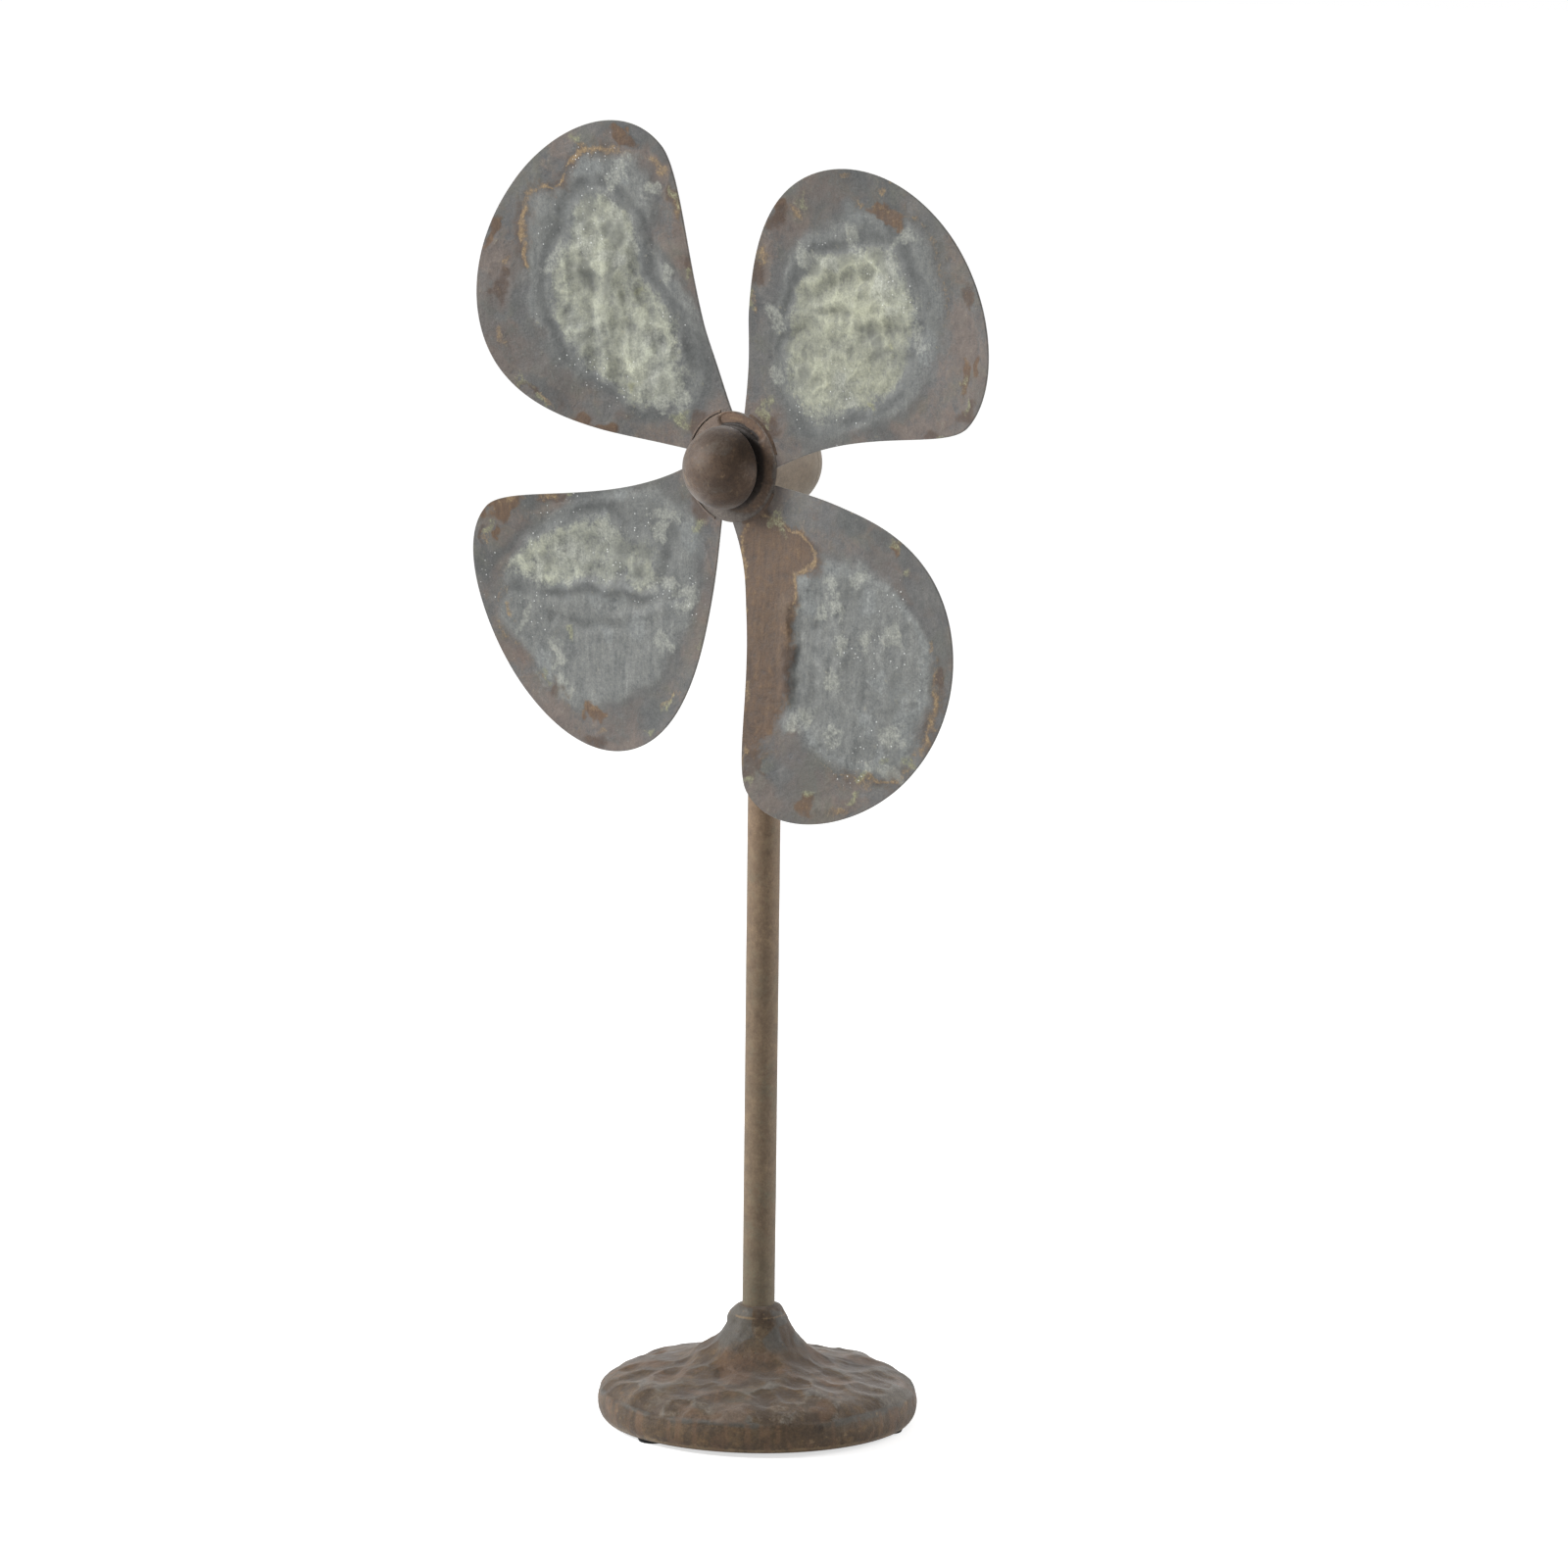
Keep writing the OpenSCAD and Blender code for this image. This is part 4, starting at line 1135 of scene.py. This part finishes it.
def plate_marks(points):
    angle, r = polar(points)

    def grain(size, seed):
        return noise(points, size, seed)

    arc = smooth(0.80, 0.90, toward(angle, LIP_ANGLE))
    lip = smooth(26.2, 27.6, r) * smooth(33.4, 31.5, r + 2 * (grain(5, 239) - 0.5)) * arc
    # painted shadow in the crevice between the lip and the dome
    crevice_shadow = smooth(27.6, 26.4, r + 1.2 * (grain(4, 240) - 0.5)) * arc
    right_side = smooth(-0.5, 0.6, toward(angle, 10))
    upper_left = smooth(0.2, 0.8, toward(angle, 140))
    start = 21 + 8 * right_side
    merge = smooth(0, 5, r - start + 3 * (clouds(points, 8, 2, 236) - 0.5)) * (1 - lip)
    # painted shadow of the dome on the plate, stronger to the right, stored in the deep mask
    centre = smooth(29, 23.5, r + 2 * (clouds(points, 9, 2, 237) - 0.5))
    # the lip's red is partly its own reddish rust and partly painted light along its crest
    red = (1.1 * lip + 0.6 * right_side * smooth(22, 28, r) * (1 - merge)
           + 0.8 * upper_left * smooth(22, 26, r) * (1 - arc))
    return {
        "ridge": 0.2 * merge * smooth(0.4, 0.6, grain(9, 233)),
        "deep": np.clip(centre * (0.35 + 0.65 * right_side) * (1 - lip) + crevice_shadow, 0, 1),
        "red": np.clip(red, 0, 1),
        "merge": 0.9 * merge * (1 - 0.5 * upper_left),
        "ochre": 0.75 * lip * smooth(0.45, 0.6, grain(5, 235))
        * smooth(27.5, 28.5, r) * smooth(30.5, 29.5, r),
    }


def plate_lip(points):
    """Raised lip along an arc of the upper rim."""
    angle, r = polar(points)
    tall = 5.4 * (0.75 + 0.5 * noise(points, 9, 238))
    return tall * hump(r, 28.8, 2.3) * smooth(0.78, 0.93, toward(angle, LIP_ANGLE))


def plate_worn(points):
    r = polar(points)[1]
    return smooth(12, 20, r) * smooth(33.6, 31.5, r) * (points[:, 2] > 35.2)


turned("hub_plate_dressed", "hub_plate", "rusted_hub", "rotor",
       densify(plate, 0.9, closed=True)[::-1], 220, wear=0.18, size=12, seed=231,
       worn=plate_worn, marks=plate_marks, dent=plate_lip)

# nose dome: pressed half ball with a turned lip and an inner boss
NOSE_R = 25.0
NOSE_WALL = 1.8
NOSE_RIM = 43.3
BOSS_R = 7.0
BOSS_BORE = 4.0
BOSS_BACK = 45.6
BORE_END = NOSE_RIM + 17.5
nose = [(NOSE_R - 1.5, NOSE_RIM - 0.25), (NOSE_R - 0.4, NOSE_RIM - 0.2),
        (NOSE_R - 0.05, NOSE_RIM + 0.1)]
nose += ball_arc(NOSE_R, NOSE_RIM, np.linspace(0.02, math.pi / 2, 46), side=1)
nose += [(0.25, BORE_END), (BOSS_BORE, BORE_END), (BOSS_BORE, BOSS_BACK), (BOSS_R, BOSS_BACK)]
nose += ball_arc(NOSE_R - NOSE_WALL, NOSE_RIM, np.linspace(0.02, 1.26, 30), 1, BOSS_R)[::-1]


def nose_marks(points):
    def cloud(size, octaves, seed):
        return clouds(points, size, octaves, seed)

    return {
        "ridge": 0.45 * smooth(0.5, 0.7, cloud(18, 3, 243)),
        "red": 0.45 * smooth(0.45, 0.62, cloud(22, 3, 245)),
        "slate": 0.45 * smooth(0.5, 0.62, cloud(16, 3, 247)),
        "hollow": 0.3 * smooth(0.5, 0.7, cloud(10, 2, 249)),
        "ochre": 0.5 * smooth(0.76, 0.82, noise(points, 3, 251)),
    }


turned("nose_dome_pressed", "nose_dome", "rusted_hub", "rotor", np.array(nose), 200,
       wear=0.22, size=15, seed=241, marks=nose_marks,
       worn=lambda p: np.hypot(polar(p)[1], p[:, 2] - NOSE_RIM) > 24.2)

# rubber feet: three pads with stems, evenly spaced under the casting
FEET_CIRCLE_R = 84.5
FIRST_FOOT_ANGLE = 259
foot = rounded([(0.3, 0.0), (8.4, 0.0), (9.0, 1.2), (9.0, BASE_Z), (3.0, BASE_Z), (3.0, 10.0),
                (0.3, 10.0)], [0, 0.7, 0.6, 0.3, 0, 0.4, 0], 4)
foot_points, _, foot_faces = revolve(densify(foot, 1.5, closed=True), 64)
feet_points, feet_faces = [], []
for i in range(3):
    turn = math.radians(FIRST_FOOT_ANGLE + 120 * i)
    shift = (FEET_CIRCLE_R * math.cos(turn), FEET_CIRCLE_R * math.sin(turn), 0)
    feet_points.append(foot_points + np.array(shift))
    feet_faces += [tuple(q + i * len(foot_points) for q in face) for face in foot_faces]
make_object("rubber_feet_moulded", "rubber_feet", "black_rubber", "stand",
            np.vstack(feet_points) * MM, feet_faces, sharp=45)

# ---------------------------------------------------------------------------
# camera, floor, world and lights, in metres
# ---------------------------------------------------------------------------

VIEW_TURN = math.radians(37.611)  # the camera stands this far round from -Y towards +X
CAMERA_DISTANCE, CAMERA_Z = 3.538, 0.9127
PITCH, YAW, ROLL = math.radians(8.303), math.radians(0.192), math.radians(0.688)
right = np.array([math.cos(VIEW_TURN), math.sin(VIEW_TURN), 0])
away = np.array([-math.sin(VIEW_TURN), math.cos(VIEW_TURN), 0])
up = np.array([0, 0, 1.0])


def add_camera():
    level_right = math.cos(YAW) * right - math.sin(YAW) * away
    level_away = math.sin(YAW) * right + math.cos(YAW) * away
    look = math.cos(PITCH) * level_away - math.sin(PITCH) * up
    pitched_up = math.sin(PITCH) * level_away + math.cos(PITCH) * up
    side = math.cos(ROLL) * level_right + math.sin(ROLL) * pitched_up
    top = -math.sin(ROLL) * level_right + math.cos(ROLL) * pitched_up
    place = -away * CAMERA_DISTANCE + up * CAMERA_Z
    data = bpy.data.cameras.new("camera")
    data.lens = 135.0
    data.sensor_width = 36.0
    data.clip_start, data.clip_end = 0.1, 200.0
    camera = bpy.data.objects.new("camera", data)
    bpy.context.scene.collection.objects.link(camera)
    rows = [(side[k], top[k], -look[k], place[k]) for k in range(3)]
    camera.matrix_world = Matrix(rows + [(0, 0, 0, 1)])
    bpy.context.scene.camera = camera


def add_floor():
    """Diffuse floor with an added glow that only the camera sees."""
    half = 60
    mesh = bpy.data.meshes.new("floor")
    corners = [(-half, -half, 0), (half, -half, 0), (half, half, 0), (-half, half, 0)]
    mesh.from_pydata(corners, [], [(0, 1, 2, 3)])
    floor = bpy.data.objects.new("floor", mesh)
    bpy.context.scene.collection.objects.link(floor)
    material = bpy.data.materials.new("pale_floor")
    tree = empty_tree(material)
    diffuse = add_node(tree, "BsdfDiffuse", {"Color": (0.80, 0.80, 0.80, 1)})
    seen = add_node(tree, "LightPath").outputs["Is Camera Ray"]
    glow = add_node(tree, "Math", {0: seen, 1: 0.66}, operation="MULTIPLY").outputs[0]
    emission = add_node(tree, "Emission", {"Color": (1, 1, 1, 1), "Strength": glow})
    both = add_node(tree, "AddShader", {0: diffuse.outputs[0], 1: emission.outputs[0]})
    add_node(tree, "OutputMaterial", {0: both.outputs[0]})
    mesh.materials.append(material)


def add_world():
    """White to the camera; as light, dimmer from the camera's side and from above."""
    world = bpy.data.worlds.new("studio")
    bpy.context.scene.world = world
    tree = empty_tree(world)
    direction = add_node(tree, "TexCoord").outputs["Generated"]
    facing = add_node(tree, "VectorMath", {0: direction, 1: tuple(-away)},
                      operation="DOT_PRODUCT").outputs["Value"]
    around = add_node(tree, "MapRange", {"Value": facing, "From Min": 0.0, "From Max": 0.95,
                                         "To Min": 1.15, "To Max": 0.19},
                      interpolation_type="SMOOTHSTEP").outputs["Result"]
    height = add_node(tree, "SeparateXYZ", {0: direction}).outputs[2]
    overhead = add_node(tree, "MapRange", {"Value": height, "From Min": 0.15, "From Max": 0.95,
                                           "To Min": 1.0, "To Max": 0.26}).outputs["Result"]
    light = add_node(tree, "Math", {0: around, 1: overhead}, operation="MULTIPLY").outputs[0]
    seen = add_node(tree, "LightPath").outputs["Is Camera Ray"]
    strength = add_node(tree, "Mix", {"Factor": seen, 2: light, 3: 1.0}, data_type="FLOAT")
    background = add_node(tree, "Background", {"Strength": strength.outputs[0],
                                               "Color": (1.0, 1.0, 1.0, 1)})
    add_node(tree, "OutputWorld", {0: background.outputs[0]})


def add_area(name, offset, width, height, power):
    """Area light at an offset from the middle of the product, aimed at it."""
    target = Vector((0, 0, 0.42))
    data = bpy.data.lights.new(name, "AREA")
    data.shape = "RECTANGLE"
    data.size, data.size_y = width, height
    data.energy = power
    light = bpy.data.objects.new(name, data)
    bpy.context.scene.collection.objects.link(light)
    place = target + Vector(tuple(offset))
    light.location = place
    light.rotation_mode = "QUATERNION"
    light.rotation_quaternion = (target - place).to_track_quat("-Z", "Y")


add_camera()
add_floor()
add_world()
add_area("key", -away * 0.45 - right * 2.4 + up * 1.25, width=0.9, height=1.1, power=79)
add_area("fill_right", right * 2.4 + away * 0.1 + up * 0.7, width=1.2, height=1.8, power=26)

view = bpy.context.scene.view_settings
view.view_transform = "Standard"
view.look = "None"
view.exposure = 0.0
view.gamma = 1.0
